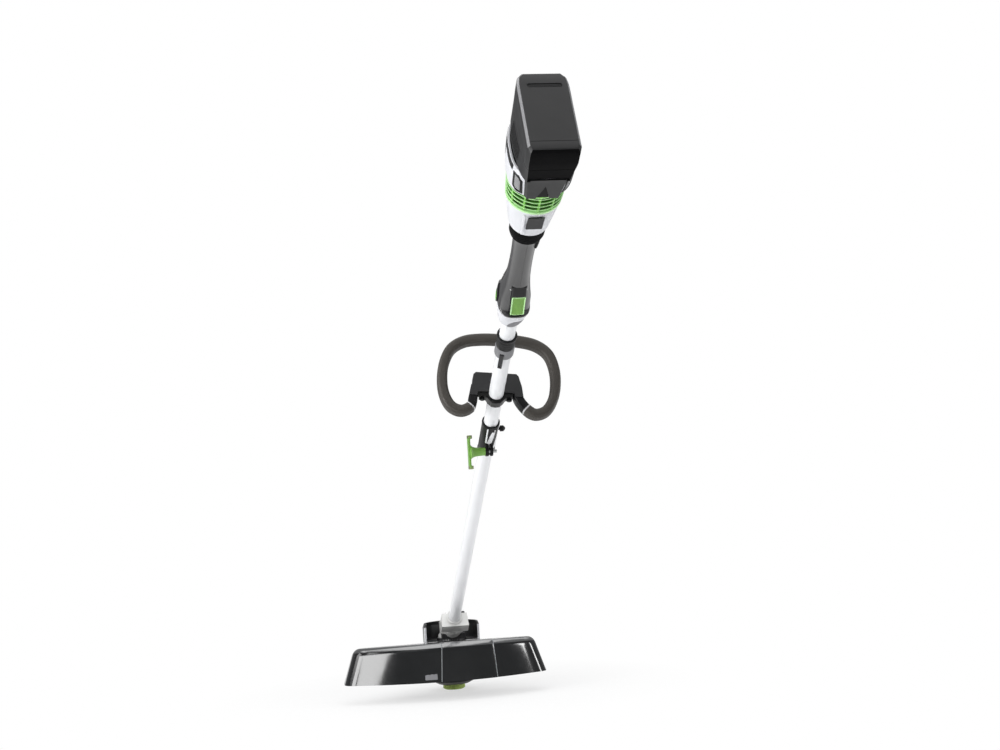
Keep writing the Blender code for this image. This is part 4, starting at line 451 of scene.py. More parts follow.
def box(x0, x1, y0, y1, z0, z1):
    """A box between two limits on each axis."""
    return loft([rectangle(x0, x1, y0, y1, z) for z in (z0, z1)])


def rectangle(x0, x1, y0, y1, z):
    """A flat rectangle's corners at a height."""
    return [(x0, y0, z), (x1, y0, z), (x1, y1, z), (x0, y1, z)]


def at(base, outline):
    """An outline in (z, y) moved up to a base."""
    return [(base + z, y) for z, y in outline]


def around(shape, count, start=0):
    """Copies of a shape set evenly round Z, from a start angle."""
    return [turned(shape, start + 360 * k / count, "Z") for k in range(count)]


def side_plate(outline, half, centre=0.0):
    """An outline in (z, y) pushed out along X both ways."""
    return loft([[(centre + s * half, y, z) for z, y in outline] for s in (-1, 1)])


def rounded(half_x, half_y, radius, steps=5, x=0.0, y=0.0):
    """A rectangle with round corners, about a centre."""
    outline = []
    for corner, (sx, sy) in enumerate(((1, 1), (-1, 1), (-1, -1), (1, -1))):
        for i in range(steps + 1):
            angle = math.radians(90 * corner + 90 * i / steps)
            outline.append((
                x + sx * (half_x - radius) + radius * math.cos(angle),
                y + sy * (half_y - radius) + radius * math.sin(angle),
            ))
    return outline


def oval_point(angle, half, top, bottom, power):
    """A point of an oval that reaches further up than down. A power above 2 squares it."""
    c, s = math.cos(angle), math.sin(angle)
    reach = top if s > 0 else bottom
    return half * math.copysign(abs(c) ** (2 / power), c), reach * math.copysign(abs(s) ** (2 / power), s)


def oval(z, half, top, bottom, power, count=64):
    """A whole oval at a height."""
    return [(*oval_point(math.tau * i / count, half, top, bottom, power), z) for i in range(count)]


def eased(stations, steps):
    """More stations between the given ones, on a smooth curve through them."""
    made = []
    ends = [stations[0], *stations, stations[-1]]
    for a, b, c, d in zip(ends, ends[1:], ends[2:], ends[3:]):
        for i in range(steps):
            t = i / steps
            made.append([
                0.5 * (
                    2 * q + (r - p) * t + (2 * p - 5 * q + 4 * r - s) * t**2 + (3 * q - p - 3 * r + s) * t**3
                )
                for p, q, r, s in zip(a, b, c, d)
            ])
    return made + [list(stations[-1])]


def patch_ring(station, side, out, deep, low, high, count, seam=-math.inf):
    """A closed loop over part of an oval, from one angle to another, so far out and deep in millimetres.

    A station is (z, half width, top, bottom, power). No point comes nearer to the middle than the seam.
    """
    z, half, top, bottom, power = station
    turns = [math.radians(low + (high - low) * i / count) for i in range(count + 1)]
    rows = []
    for grow in (out, -deep):
        points = [oval_point(a, half + grow, top + grow, bottom + grow, power) for a in turns]
        rows.append([(side * max(x, seam), y, z) for x, y in points])
    return rows[0] + rows[1][::-1]


def shell_patch(stations, *how, count=20, seam=-math.inf):
    """A curved plate that follows a moulding's surface. How is the side, out, deep and both angles."""
    return loft([patch_ring(station, *how, count, seam) for station in stations])


def half_shell(stations, side, wall, count=28):
    """One half of a split moulding."""
    return shell_patch(stations, side, 0, wall, -90, 90, count=count, seam=0.15)


def station_at(stations, z):
    """The figures of a moulding's outline at a height between two stations."""
    for low, high in zip(stations, stations[1:]):
        if low[0] <= z <= high[0]:
            share = (z - low[0]) / max(high[0] - low[0], 0.001)
            return [a + (b - a) * share for a, b in zip(low, high)]
    return list(stations[-1])


def surface_y(x, station):
    """How low the underside of a moulding lies at a distance from its middle."""
    _, half, _, bottom, power = station
    return -bottom * (1 - min(abs(x) / half, 1) ** power) ** (1 / power)


def sweep(path, outline):
    """An outline of (in plane, across) points carried along a path in the XY plane."""
    loops = []
    for i, here in enumerate(path):
        ahead = path[min(i + 1, len(path) - 1)] - path[max(i - 1, 0)]
        normal = Vector((-ahead.y, ahead.x, 0)).normalized()
        loops.append([tuple(here + normal * u + Vector((0, 0, w))) for u, w in outline])
    return loops


def wire(points, radius, sides):
    """A round bead along points."""
    path = [Vector(p) for p in points]
    turns = [math.tau * k / sides for k in range(sides)]
    loops = []
    for i, here in enumerate(path):
        ahead = (path[min(i + 1, len(path) - 1)] - path[max(i - 1, 0)]).normalized()
        out = ahead.cross(Vector((0, 0, 1))).normalized()
        up = out.cross(ahead)
        loops.append([tuple(here + (out * math.cos(a) + up * math.sin(a)) * radius) for a in turns])
    return loft(loops)


def carve(piece, shape, place=SHAFT, operation="DIFFERENCE"):
    """Cuts a shape out of a piece, or keeps only what lies inside it, and leaves no helper behind."""
    mesh = mesh_of("tool", shape, place)
    tool = bpy.data.objects.new("tool", mesh)
    bpy.context.scene.collection.objects.link(tool)
    step = piece.modifiers.new("Carve", "BOOLEAN")
    step.operation = operation
    step.solver = "EXACT"
    step.object = tool
    settle(piece)
    bpy.data.objects.remove(tool, do_unlink=True)
    bpy.data.meshes.remove(mesh)


def settle(piece):
    """Applies a piece's modifiers to its mesh."""
    bpy.context.view_layer.update()
    shown = piece.evaluated_get(bpy.context.evaluated_depsgraph_get())
    fixed = bpy.data.meshes.new_from_object(shown)
    old = piece.data
    piece.modifiers.clear()
    piece.data = fixed
    bpy.data.meshes.remove(old)
    fixed.set_sharp_from_angle(angle=math.radians(SMOOTH))


def reskin(piece, skin, chosen, place=SHAFT):
    """Gives the faces that are chosen by their centre and normal in millimetres another finish."""
    piece.data.materials.append(FINISHES[skin])
    slot = len(piece.data.materials) - 1
    back = place.inverted()
    for face in piece.data.polygons:
        if chosen(back @ face.center / MM, back.to_3x3() @ face.normal):
            face.material_index = slot


def screw_head(radius, height=1.6):
    """A pan head with a round recess, its seat at zero and its top up Z."""
    outside = [(0, 0), (radius, 0), (radius, height * 0.5), (radius * 0.8, height), (radius * 0.5, height)]
    return [*outside, (radius * 0.46, height * 0.35), (0, height * 0.35)]


def dress(skin, *nodes, smooth=SMOOTH):
    """Gives CAD pieces that are shown as they are their finish."""
    for node in nodes:
        mesh = NODES[node].data
        mesh.shade_smooth()
        mesh.set_sharp_from_angle(angle=math.radians(smooth))
        mesh.materials.clear()
        mesh.materials.append(FINISHES[skin])


def span(node):
    """Where a CAD piece of the shaft begins and ends along it, in millimetres."""
    back = SHAFT.inverted() @ NODES[node].matrix_world
    heights = [(back @ vertex.co).z / MM for vertex in NODES[node].data.vertices]
    return min(heights), max(heights)


class Build:
    """Shared by the operators that make pieces."""

    bl_options = {"REGISTER", "UNDO"}

    def execute(self, context):
        self.make(context.scene.trimmer_sizes)
        return {"FINISHED"}


# Half the pack's outline from its upper side to its underside, at the dock and at the label face.
PACK_DOCK = (
    (26, 69), (33, 61), (37.5, 48), (41, 15), (41, -10), (38, -35), (36.5, -46), (33, -56), (29.5, -62),
)
PACK_FACE = ((27, 72), (34, 64), (36, 50), (36, 15), (36, -10), (36, -35), (36, -46), (36, -60), (33, -70))


def pack_outline(z, draw=0.0):
    """The pack's outline at a height. Its cheeks bulge at the dock side and run out into the label face."""
    share = min(max((z - Z_PACK - 5) / 41, 0), 1)
    share = share * share * (3 - 2 * share) * 0.35 + share * 0.65
    half = [(a + (c - a) * share, b + (d - b) * share) for (a, b), (c, d) in zip(PACK_DOCK, PACK_FACE)]
    flank = [tuple(p) for p in eased(half[1:-1], 3)]
    line = [half[0], *flank, half[-1]]
    loop = line + [(-x, y) for x, y in reversed(line)]
    made = []
    for before, here, after in zip([loop[-1], *loop], loop, [*loop[1:], loop[0]]):
        a = (Vector(here) - Vector(before)).normalized()
        b = (Vector(after) - Vector(here)).normalized()
        normal = Vector((a.y + b.y, -a.x - b.x)).normalized()
        point = Vector(here) + normal * draw / max(normal.dot(Vector((a.y, -a.x))), 0.3)
        made.append((*point, z))
    return made


class OBJECT_OT_trimmer_battery(Build, bpy.types.Operator):
    """Makes the battery pack with its finger recess, seams, bevels painted bright as a highlight, and rails'
    slot
    """

    bl_idname = "trimmer.battery"
    bl_label = "Battery pack"

    def make(self, sizes):
        # Heights over the dock, and how far the outline draws in there to round the edges.
        low = ((0, 0.8), (0.8, 0.2), (3, 0), (9, 0), (15, 0), (21, 0), (26, 0), (29.5, 0), (30, 0.5))
        high = (
            (30.3, 0.5), (30.8, 0), (35, 0), (41, 0), (46, 0), (56, 0), (65.8, 0), (66.4, 0.25), (70, 3.1),
            (70.7, 3.8), (71, 4.6),
        )
        base = put(
            "pack_base", "battery_pack", "dark", loft([pack_outline(Z_PACK + z, draw) for z, draw in low]),
        )
        carve(base, box(-28.6, 28.6, -75, 48.6, Z_DOCK + 3.2, Z_DOCK + 7.6))
        carve(base, box(-24.6, 24.6, -75, 48.6, Z_DOCK - 2, Z_DOCK + 7.6))
        rows = [pack_outline(Z_PACK + z, draw) for z, draw in high]
        cover = put("pack_cover", "battery_pack", "dark", loft(rows), smooth=24)
        carve(cover, prism(rounded(24, 3.5, 2.4, 5, 1, 47), Z_LABEL - 1.2, Z_LABEL + 3))
        carve(cover, box(-31.5, 31.5, -52.9, -52.2, Z_LABEL - 0.6, Z_LABEL + 3))
        # Painted shade: a black floor in the finger recess, darker than the cover round it.
        put(
            "pack_recess_floor", "battery_pack", "black",
            prism(rounded(23.6, 3.1, 2.0, 5, 1, 47), Z_LABEL - 1.5, Z_LABEL - 1.0),
        )
        steps = [
            prism(rounded(23 - 1.5 * k, 0.35, 0.2, 2, 1, 45.4 + 1.6 * k), Z_LABEL - 1.1, Z_LABEL - 0.6)
            for k in range(3)
        ]
        put("pack_recess_ridges", "battery_pack", "dark", steps)
        for name, side in SIDES:
            # Painted highlight: a strip in a much paler grey along each side bevel of the label face.
            line = pack_outline(Z_LABEL - 2.8, 1.67)[1:20]
            along, out = Vector((-0.62, 0.78)), Vector((0.78, 0.62))
            strip = []
            for x, y, z in line:
                corners = [
                    along * u + out * v for u, v in ((2.4, 0.1), (-2.4, 0.1), (-2.4, -0.5), (2.4, -0.5))
                ]
                strip.append([(side * (x + c.x), y, z + c.y) for c in corners])
            put(f"pack_bevel_{name}", "battery_pack", "bevel", loft(strip))
            ribs = []
            for k in range(5):
                z = Z_PACK + 7 + 4.2 * k
                here = [p for p in pack_outline(z) if p[0] > 0 and -30 < p[1] < 30]
                rib = [
                    [(side * (x + d), y, z + w) for d, w in ((-0.6, 0), (0.6, 0.3), (0.6, 1.3), (-0.6, 1.6))]
                    for x, y, _ in here
                ]
                ribs.append(loft(rib))
            put(f"pack_side_ribs_{name}", "battery_pack", "black", ribs)
        # Painted shade: the pack's downward faces take the near-black matt finish.
        for piece in (base, cover):
            reskin(piece, "matt", lambda spot, normal: normal.y < -0.55 and spot.z < Z_LABEL - 2)
        ends = [rectangle(-26, 26, -62.3 - 0.11 * z, -61.4, Z_PACK + z) for z in (32, 60)]
        put("pack_end_pad", "battery_pack", "matt", loft(ends), edge=0.3)
        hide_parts("battery_case")
        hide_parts("battery_cover")
        dress("wrap", "cell_pack")


# A station of a moulding is its height, half width, reach up, reach down and how square it is.


def cone_stations():
    """The light cone below the louvres."""
    return [
        (Z_CONE, 27.5, 27.5, 27.5, 2.0), (Z_CONE + 5, 30, 30, 30.5, 2.0), (Z_RING - 18, 36.5, 37, 36.5, 2.0),
        (Z_RING - 3, 38.4, 39.3, 38.4, 2.0), (Z_RING - 0.2, 38.2, 39.1, 38.2, 2.0),
    ]


def body_stations():
    """The housing between the louvres and the dock."""
    return [
        (Z_BODY + 1.0, 44, 48, 45.5, 2.5), (Z_BODY + 12, 45.5, 53, 47.5, 2.7),
        (Z_DOCK - 14, 46, 60, 52, 2.8), (Z_DOCK - 0.8, 45.6, 62, 55, 2.8),
    ]


class OBJECT_OT_trimmer_housing(Build, bpy.types.Operator):
    """Makes the powerhead's two shells, covers, corner vents, dock rim and screws"""

    bl_idname = "trimmer.housing"
    bl_label = "Powerhead housing"

    def make(self, sizes):
        cone = eased(cone_stations(), 4)
        body = eased(body_stations(), 4)
        body = [(Z_BODY + 0.3, 43.3, 47.2, 44.8, 2.5), *body, (Z_DOCK, 45.0, 61.3, 54.3, 2.8)]
        vent = at(VENT_Z, [(0, -9), (30, -9), (38, -2), (38, 9), (8, 9), (0, 2)])
        for name, side in SIDES:
            nose = put(f"cone_shell_{name}", "powerhead", "shell", half_shell(cone, side, WALL))
            tail = put(f"body_shell_{name}", "powerhead", "shell", half_shell(body, side, WALL))
            carve(tail, self.on_corner(side_plate(vent, 14, side * 50), side))
            carve(tail, box(-11.8, 11.8, 40, 80, Z_DOCK - 22, Z_DOCK + 1))
            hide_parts(f"housing_{name}")
            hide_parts(f"housing_{name}")
            self.corner_vent(name, side, vent)
            cheek = [s for s in eased(body_stations(), 8) if s[0] > Z_DOCK - 14]
            put(
                f"dock_cheek_{name}", "powerhead", "dark", shell_patch(cheek, side, 0.35, 0.6, -24, 68),
                edge=0.3,
            )
            cheek = [s for s in eased(body_stations(), 8) if Z_DOCK - 32 < s[0] < Z_DOCK - 13]
            put(
                f"dock_flank_{name}", "powerhead", "dark", shell_patch(cheek, side, 0.3, 0.6, 12, 68),
                edge=0.3,
            )
            seam = [s for s in eased(body_stations(), 8) if s[0] < Z_DOCK - 24]
            put(
                f"body_seam_{name}", "powerhead", "shell",
                shell_patch(seam, side, 0.25, 0.5, 86.4, 88.6, count=2),
            )
        for z, y, reach in ((Z_CONE + 24, 17, 29.6), (Z_BODY + 40, 34, 43.4), (Z_BODY + 16, -20, 43.6)):
            head = across(revolve(screw_head(3.4), 20), x=reach - 0.6, y=y, z=z)
            put(f"shell_screw_{int(z)}", "powerhead", "dark steel", head)
        self.covers()
        dress("black", "dock_plate")
        dress("board", "controller_board")
        outline = at(Z_DOCK, [
            (-15.5, 56.5), (-14, 63.5), (-9, 65), (-7.5, 62.5), (-3, 60), (4.5, 59.5), (4.5, 54), (-6, 53),
        ])
        latch = put("latch_button", "latch", "green", side_plate(outline, 10.8), edge=1.0)
        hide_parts("pack_latch")
        ridges = [
            box(-8, 8, 64.0 + 0.1 * k, 65.3, Z_DOCK - 13.4 + 1.7 * k, Z_DOCK - 12.6 + 1.7 * k)
            for k in range(3)
        ]
        put("latch_ridges", "latch", "green", ridges, edge=0.2)

    def on_corner(self, shape, side):
        """A shape turned from the housing's side to its lower corner."""
        return turned(shape, VENT_TURN * side, "Z")

    def corner_vent(self, name, side, vent):
        """A black frame round slanted grey ribs, as painted shade in the vent's gap, with a dark depth of
        painted shade behind them.
        """
        middle = VENT_Z + 19

        def drawn(along, over):
            """The vent's outline, drawn in along the shaft and over it."""
            return [(middle + (z - middle) * along, y * over) for z, y in vent]

        def sheet(out, deep):
            """A half shell from so far outside the housing to so far inside it."""
            rows = eased(body_stations(), 5)
            rows = [(z, a + out, b + out, c + out, p) for z, a, b, c, p in rows]
            return half_shell(rows, side, out + deep, count=40)

        def plate(outline):
            """An outline pushed through the corner."""
            return self.on_corner(side_plate(outline, 14, side * 50), side)

        # Painted shade: a black frame all round the vent's gap.
        rim = put(f"vent_frame_{name}", "powerhead", "black", sheet(0.8, 2.3))
        carve(rim, plate(drawn(0.975, 0.95)), operation="INTERSECT")
        carve(rim, plate(drawn(0.82, 0.6)))
        round_edges(rim, 0.4)
        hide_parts(f"vent_{name}")
        bars = []
        for k in range(8):
            bar = at(VENT_Z + 5.0 + 3.9 * k, [(0, -6.2), (1.9, -6.2), (4.3, 6.4), (2.4, 6.4)])
            bars.append(side_plate(bar, 14, side * 50))
        ribs = put(f"vent_ribs_{name}", "powerhead", "pale grey and cuff highlight", sheet(0.2, 1.6))
        carve(ribs, self.on_corner(together(*bars), side), operation="INTERSECT")
        # Painted shade: a near-black sheet behind the vent's ribs.
        depth = put(f"vent_depth_{name}", "powerhead", "painted shade", sheet(-1.5, 2.2))
        carve(depth, plate(drawn(0.9, 0.8)), operation="INTERSECT")

    def covers(self):
        """The dark cover with its notch, the plate on the cone and the pale ridge beside it."""
        rows = []
        for z in [Z_BODY + 2 + 48 * k / 12 for k in range(13)]:
            half = 25 + 5 * (z - Z_BODY - 2) / 48
            station = station_at(eased(body_stations(), 4), z)
            seat = [
                (half * share, surface_y(half * share, station) - 0.6, z)
                for share in (1, 0.8, 0.5, 0, -0.5, -0.8, -1)
            ]
            rim, low = seat[0][1] - 1.5, seat[3][1] - 2.4
            rows.append([
                (-half + 0.5, rim, z), (-half + 3, low, z), (half - 3, low, z), (half - 0.5, rim, z), *seat,
            ])
        cover = put("belly_cover", "powerhead", "dark", loft(rows))
        notch = ((-10, 1), (10, 1), (7.5, 9), (0, 33), (-7.5, 9))
        carve(cover, loft([[(x, y, Z_BODY + z) for x, z in notch] for y in (-70, -30)]))
        round_edges(cover, 0.6)
        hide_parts("underside_cover")
        pad = []
        for z, half in ((Z_BODY + 2.4, 9.2), (Z_BODY + 9, 7.2), (Z_BODY + 32.0, 0.4)):
            y = surface_y(0, station_at(eased(body_stations(), 4), z))
            pad.append(rectangle(-half, half, y - 0.9, y - 0.1, z))
        # Painted shade: a near-black floor behind the belly notch.
        put("belly_notch_floor", "powerhead", "painted shade", loft(pad))
        rows = []
        for z in (Z_RING - 36, Z_RING - 21, Z_RING - 6):
            y = max(-(30.5 + 6 * (z - Z_CONE - 5) / 37) - 0.9, -39.4)
            edge = ((-12, 0.6), (-12, -0.9), (-11, -1.7), (11, -1.7), (12, -0.9), (12, 0.6))
            rows.append([(x, y + lift, z) for x, lift in edge])
        plate = put("cone_plate", "powerhead", "dark", loft(rows), edge=0.4)
        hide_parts("service_cover")
        ridge = []
        for z, y, x in ((Z_CONE + 8, -32.0, -15.0), (Z_CONE + 26, -34.0, -16.0), (Z_RING - 6, -35.0, -16.5)):
            ridge.append([(x + u, y + v, z) for u, v in ((-2.2, 3.6), (-1.6, 0.2), (1.4, -0.9), (2.4, 1.2))])
        put("cone_ridge", "powerhead", "shell", loft(ridge), edge=0.4)


class OBJECT_OT_trimmer_louvres(Build, bpy.types.Operator):
    """Makes the green louvred ring round the motor"""

    bl_idname = "trimmer.louvres"
    bl_label = "Louvre ring"

    def make(self, sizes):
        low, high = Z_RING + 0.4, Z_BODY - 0.4

        def radius(z):
            """The ring's radius at a height, wider towards the housing."""
            return 40.2 + (z - low) * 0.074

        # Painted shade: a darker green sheet behind the louvres.
        put(
            "louvre_depth", "powerhead", "painted shade green",
            revolve([(36.4, low), (36.4, high), (35.3, high), (35.3, low)], 64),
        )
        rims = together(
            revolve([(36.5, 0), (39.0, 0), (40.4, 1.2), (40.7, 4.6), (39.6, 5.2), (36.5, 5.2)], 96, low),
            revolve([(36.5, -5.4), (41.8, -5.4), (43.3, -4.4), (43.5, -0.8), (42.8, 0), (36.5, 0)], 96, high),
        )
        ring = put("louvre_rims", "powerhead", "green", rims)
        # Painted highlight: the ring's lower rim takes the paler green.
        reskin(ring, "green highlight", lambda spot, normal: spot.z < low + 5.4)
        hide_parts("vent_ring")
        # Painted highlight: a pale green lip round the rim by the housing.
        lip_highlight = revolve([(43.0, -4.4), (43.7, -3.9), (43.7, -2.9), (43.0, -2.4)], 96, high)
        put("louvre_pale_lip", "powerhead", "green highlight", lip_highlight)
        rows, edges = [], []
        start, stop = low + 5.2, high - 5.4
        pitch = (stop - start) / sizes.louvre_count
        for k in range(sizes.louvre_count):
            z = start + pitch * (k + 0.5)
            r = radius(z)
            blade = [(37.0, -3.2), (r - 0.2, 0.2), (r + 0.2, 1.4), (r - 0.7, 2.0), (37.0, -1.2)]
            rows.append(revolve(blade, 96, z))
            # Painted highlight: a pale bead on each louvre's front edge.
            edges.append(revolve([(r - 0.3, 0.5), (r + 0.4, 0.9), (r + 0.4, 1.7), (r - 0.4, 2.1)], 96, z))
        put("louvre_blades", "powerhead", "green", rows)
        put("louvre_edges", "powerhead", "green highlight", edges)
        ends = ((start - 0.5, radius(start) - 0.3), (stop + 0.5, radius(stop) - 0.3))
        bar = loft([rectangle(36.5, out, -1.3, 1.3, z) for z, out in ends])
        bars = around(bar, sizes.mullion_count, -90)
        put("louvre_mullions", "powerhead", "green", bars, edge=0.3)


def nose_stations():
    """The light nose that takes the tube."""
    return [
        (Z_NOSE, 14.8, 14.8, 14.8, 2.0), (Z_NOSE + 5, 18, 18, 18, 2.0), (Z_NOSE + 12, 20.3, 21, 20.5, 2.2),
        (Z_NOSE + 26, 22.6, 27, 23.5, 2.6), (Z_GRIP - 8, 24, 31, 25.5, 2.8), (Z_GRIP, 24.5, 32.5, 26, 2.9),
    ]


def grip_stations():
    """The rear grip, from its guard over the trigger to the collar."""
    g = Z_GRIP + 0.3
    return [
        (g, 24.5, 32.5, 26, 2.9), (g + 1.5, 24.5, 32.7, 31, 2.9), (g + 6, 24.8, 33, 33, 2.9),
        (g + 7.8, 24.8, 33, 25.5, 2.9), (g + 30, 23.6, 31, 24.5, 2.8), (g + 50, 20.5, 26, 23.5, 2.5),
        (g + 70, 18.2, 21.5, 22, 2.2), (g + 90, 17.2, 19.2, 20.5, 2.0), (g + 125, 16.8, 18.3, 19.3, 2.0),
        (Z_COLLAR - 12, 18.2, 20, 20, 2.0), (Z_COLLAR, 20.5, 21.5, 21.5, 2.0),
    ]


LEVER_START = Z_GRIP - 12
LEVER_LENGTH = 42.0
LEVER_Y, LEVER_RISE, LEVER_DROP = 17, 20, 14
TRIGGER_START = Z_GRIP + 12
TRIGGER_END = TRIGGER_START + 54


def lever_outline(grow=0.0, swing=0.0, count=20):
    """The lock-off lever from the side, a lens with pointed ends, as (z, y)."""
    whole = LEVER_LENGTH + 2 * grow
    upper, lower = [], []
    for i in range(count + 1):
        share = i / count
        z = LEVER_START - grow + whole * share
        arch = max(math.sin(math.pi * share), 0.0) ** 0.8
        upper.append((z, LEVER_Y + grow + LEVER_RISE * arch))
        if 0 < i < count or grow > 0:
            lower.append((z, LEVER_Y - grow - LEVER_DROP * arch - swing * share))
    return upper + lower[::-1]


def lens_outline(centre, middle, reach, high, low, count=16):
    """A pointed lens from the side, as (z, y)."""
    turns = [math.pi * i / count for i in range(count + 1)]
    upper = [(centre - reach * math.cos(a), middle + high * math.sin(a) ** 0.9) for a in turns[1:-1]]
    lower = [(centre + reach * math.cos(a), middle - low * math.sin(a) ** 0.9) for a in turns[1:-1]]
    return [(centre - reach, middle), *upper, (centre + reach, middle), *lower]


class OBJECT_OT_trimmer_grip(Build, bpy.types.Operator):
    """Makes the rear grip, its soft back, the trigger, the lock-off lever, the nose and the collar"""

    bl_idname = "trimmer.grip"
    bl_label = "Rear grip and controls"

    def make(self, sizes):
        flank, floor = 19.9, 19.7
        pocket = box(-11.8, 11.8, -60, -13.2, TRIGGER_START - 3.6, TRIGGER_END + 1.5)
        flanks = [side_plate(lever_outline(1.2, 5.0), 8, s * (flank + 8)) for s in (-1, 1)]
        end = LEVER_START + 42.8
        room = [
            (LEVER_START - 0.6, floor), *[(z, y) for z, y in lever_outline(1.2, 5.0)[:21] if y > floor],
            (end, floor), (end, floor - 4),
        ]
        bridge = side_plate(room, 30.5)
        stations = grip_stations()
        rows = [*eased(stations[:4], 2), *eased(stations[4:], 4)]
        for name, side in SIDES:
            # The grip's halves take the painted sheen, paler than the dark plastic.
            shell = put(f"grip_shell_{name}", "powerhead", "painted sheen", half_shell(rows, side, WALL))
            for shape in (pocket, *flanks, bridge):
                carve(shell, shape)
            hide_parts(f"handle_{name}")
        rows = [
            *[oval(*s) for s in eased(nose_stations(), 4)], *[circle(BORE_R, z, 64) for z in (Z_GRIP, Z_NOSE)]
        ]
        nose = put("nose_shell", "powerhead", "shell", loft(rows, closed=True))
        for shape in (*flanks, bridge, box(-4.5, 4.5, 14.2, 24, LEVER_START + 2.4, LEVER_START + 9.6)):
            carve(nose, shape)
        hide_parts("nose_cone")
        self.nose_inset()
        self.trigger()
        self.lever()
        self.soft_back()
        collar = put("collar_ring", "powerhead", "matt", revolve([
            (22.6, 0.3), (23.6, 1.2), (25.5, 6), (26.6, 22), (26.9, 27), (26.4, 27.7), (13.0, 27.7),
            (13.0, 0.3),
        ], 72, Z_COLLAR))
        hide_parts("grip_collar")
        grooves = []
        for z in (8, 12, 16):
            r = 25.0 + 0.05 * z
            grooves.append(revolve([(r, z), (r + 0.9, z + 0.8), (r, z + 1.6)], 72, Z_COLLAR))
        put("collar_ridges", "powerhead", "black", grooves)
        clip = at(Z_COLLAR, [(-21, -17.5), (-20, -21.0), (-8, -22.6), (-1, -23.2), (-1, -19.0), (-12, -18.2)])
        put("collar_clip", "powerhead", "black", turned(side_plate(clip, 2.2), 52, "Z"), edge=0.5)
        dress("black", "trigger_switch")

    def nose_inset(self):
        """The dark slanted panel on the nose's underside."""
        rows = []
        for rise, left, right in ((0.8, -22, 6), (6, -26, 14), (12, -22, 24), (20, -10, 34), (25, 2, 40)):
            station = station_at(eased(nose_stations(), 6), Z_NOSE + rise)
            rows.append(patch_ring((Z_NOSE + rise, *station[1:]), 1, 0.35, 0.5, left - 90, right - 90, 12))
        put("nose_inset", "powerhead", "rib", loft(rows))

    def soft_back(self):
        """The overmoulded skin on the grip's upper side, with fine ribs across it."""
        g = Z_GRIP + 0.3
        rows = [s for s in eased(grip_stations()[4:], 6) if g + 36 <= s[0] <= Z_COLLAR - 12]
        put(
            "grip_soft_back", "powerhead", "soft", shell_patch(rows, 1, 0.7, 0.5, 24, 156, count=16),
            edge=0.35,
        )
        ribs = []
        for k in range(16):
            z = g + 46 + 5.2 * k
            _, half, top, bottom, power = station_at(rows, z)
            arc = []
            for i in range(13):
                angle = math.radians(40 + 100 * i / 12)
                arc.append([
                    (*oval_point(angle, half + d, top + d, bottom, power), z + w)
                    for d, w in ((0.5, 0), (1.1, 0.5), (1.1, 1.1), (0.5, 1.6))
                ])
            ribs.append(loft(arc))
        put("grip_ribs", "powerhead", "soft", ribs)

    def trigger(self):
        """The finger pad with its pale edge line, a painted highlight, and the pin that it turns on."""
        line = ((1.2, -32.2), (3.5, -33), (12, -31.5), (27, -29.3), (38, -28.0), (46, -25.2), (54, -21.0))
        front = eased(at(TRIGGER_START, line), 3)
        back = at(TRIGGER_START, [(54, -14.5), (38, -16.3), (30, -18.5), (14, -22.5), (0, -24.5), (0, -30.5)])
        loops = []
        for x, sink in (
            (-11, 2.0), (-10.6, 1.1), (-9.6, 0.35), (-8, 0.05), (0, -0.3), (8, 0.05), (9.6, 0.35),
            (10.6, 1.1), (11, 2.0),
        ):
            loops.append([(x, y + sink, z) for z, y in front] + [(x, y, z) for z, y in back])
        pad = put("trigger_pad", "trigger", "dark", loft(loops))
        front = [(z, y) for z, y in front if z <= TRIGGER_START + 39]
        face = []
        for x, sink in ((-9.4, 0.2), (-6, -0.3), (0, -0.6), (6, -0.3), (9.4, 0.2)):
            face.append(
                [(x, y + sink, z) for z, y in front] + [(x, y + sink + 1.2, z) for z, y in reversed(front)]
            )
        put("trigger_face", "trigger", "knob", loft(face))
        put("trigger_pin", "trigger", "steel", across(rod(2.0, -13.4, 13.4, 20), y=-17.5, z=TRIGGER_END - 8))
        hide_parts("trigger")
        # Painted highlight: pale beads round the trigger's face.
        rim = [wire([(side * 9.8, y + 0.25, z) for z, y in front], 1.0, 8) for side in (-1, 1)]
        for z, y in (front[1], front[-1]):
            rim.append(wire([(x, y - 0.05 + 0.004 * x * x, z) for x in (-9.8, -6, -3, 0, 3, 6, 9.8)], 0.9, 8))
        put("trigger_edge", "trigger", "green highlight", rim)
        ridges = []
        for k in range(5):
            z, y = front[min(4 + 2 * k, len(front) - 2)]
            ridges.append(
                wire([(x, y - 0.1 + 0.003 * x * x, z) for x in (-6.5, -4, -2, 0, 2, 4, 6.5)], 0.4, 6)
            )
        put("trigger_ridges", "trigger", "knob", ridges)

    def lever(self):
        """A dark saddle over the grip's hump with a green lens let into each flank."""
        hump = [*nose_stations(), *[s for s in grip_stations() if s[3] < 27]]
        heights = (LEVER_START - 4, Z_GRIP - 8, Z_GRIP, Z_GRIP + 14, Z_GRIP + 30, LEVER_START + 46)
        rows = [(z, *station_at(hump, z)[1:]) for z in heights]
        inside = box(-20.5, 20.5, -45, 20.3, LEVER_START - 6, LEVER_START + 48)
        wall, rise = 1.6, 4.0

        def saddle(name, skin, out, outline):
            """A piece of a saddle so far outside the lever, with the given outline."""
            grown = [(z, half + wall + out, top + rise + out, *rest) for z, half, top, *rest in rows]
            shape = put(name, "lock_off", skin, loft([oval(*s, count=72) for s in eased(grown, 4)]))
            carve(shape, side_plate(outline, 40), operation="INTERSECT")
            carve(shape, inside)
            return shape

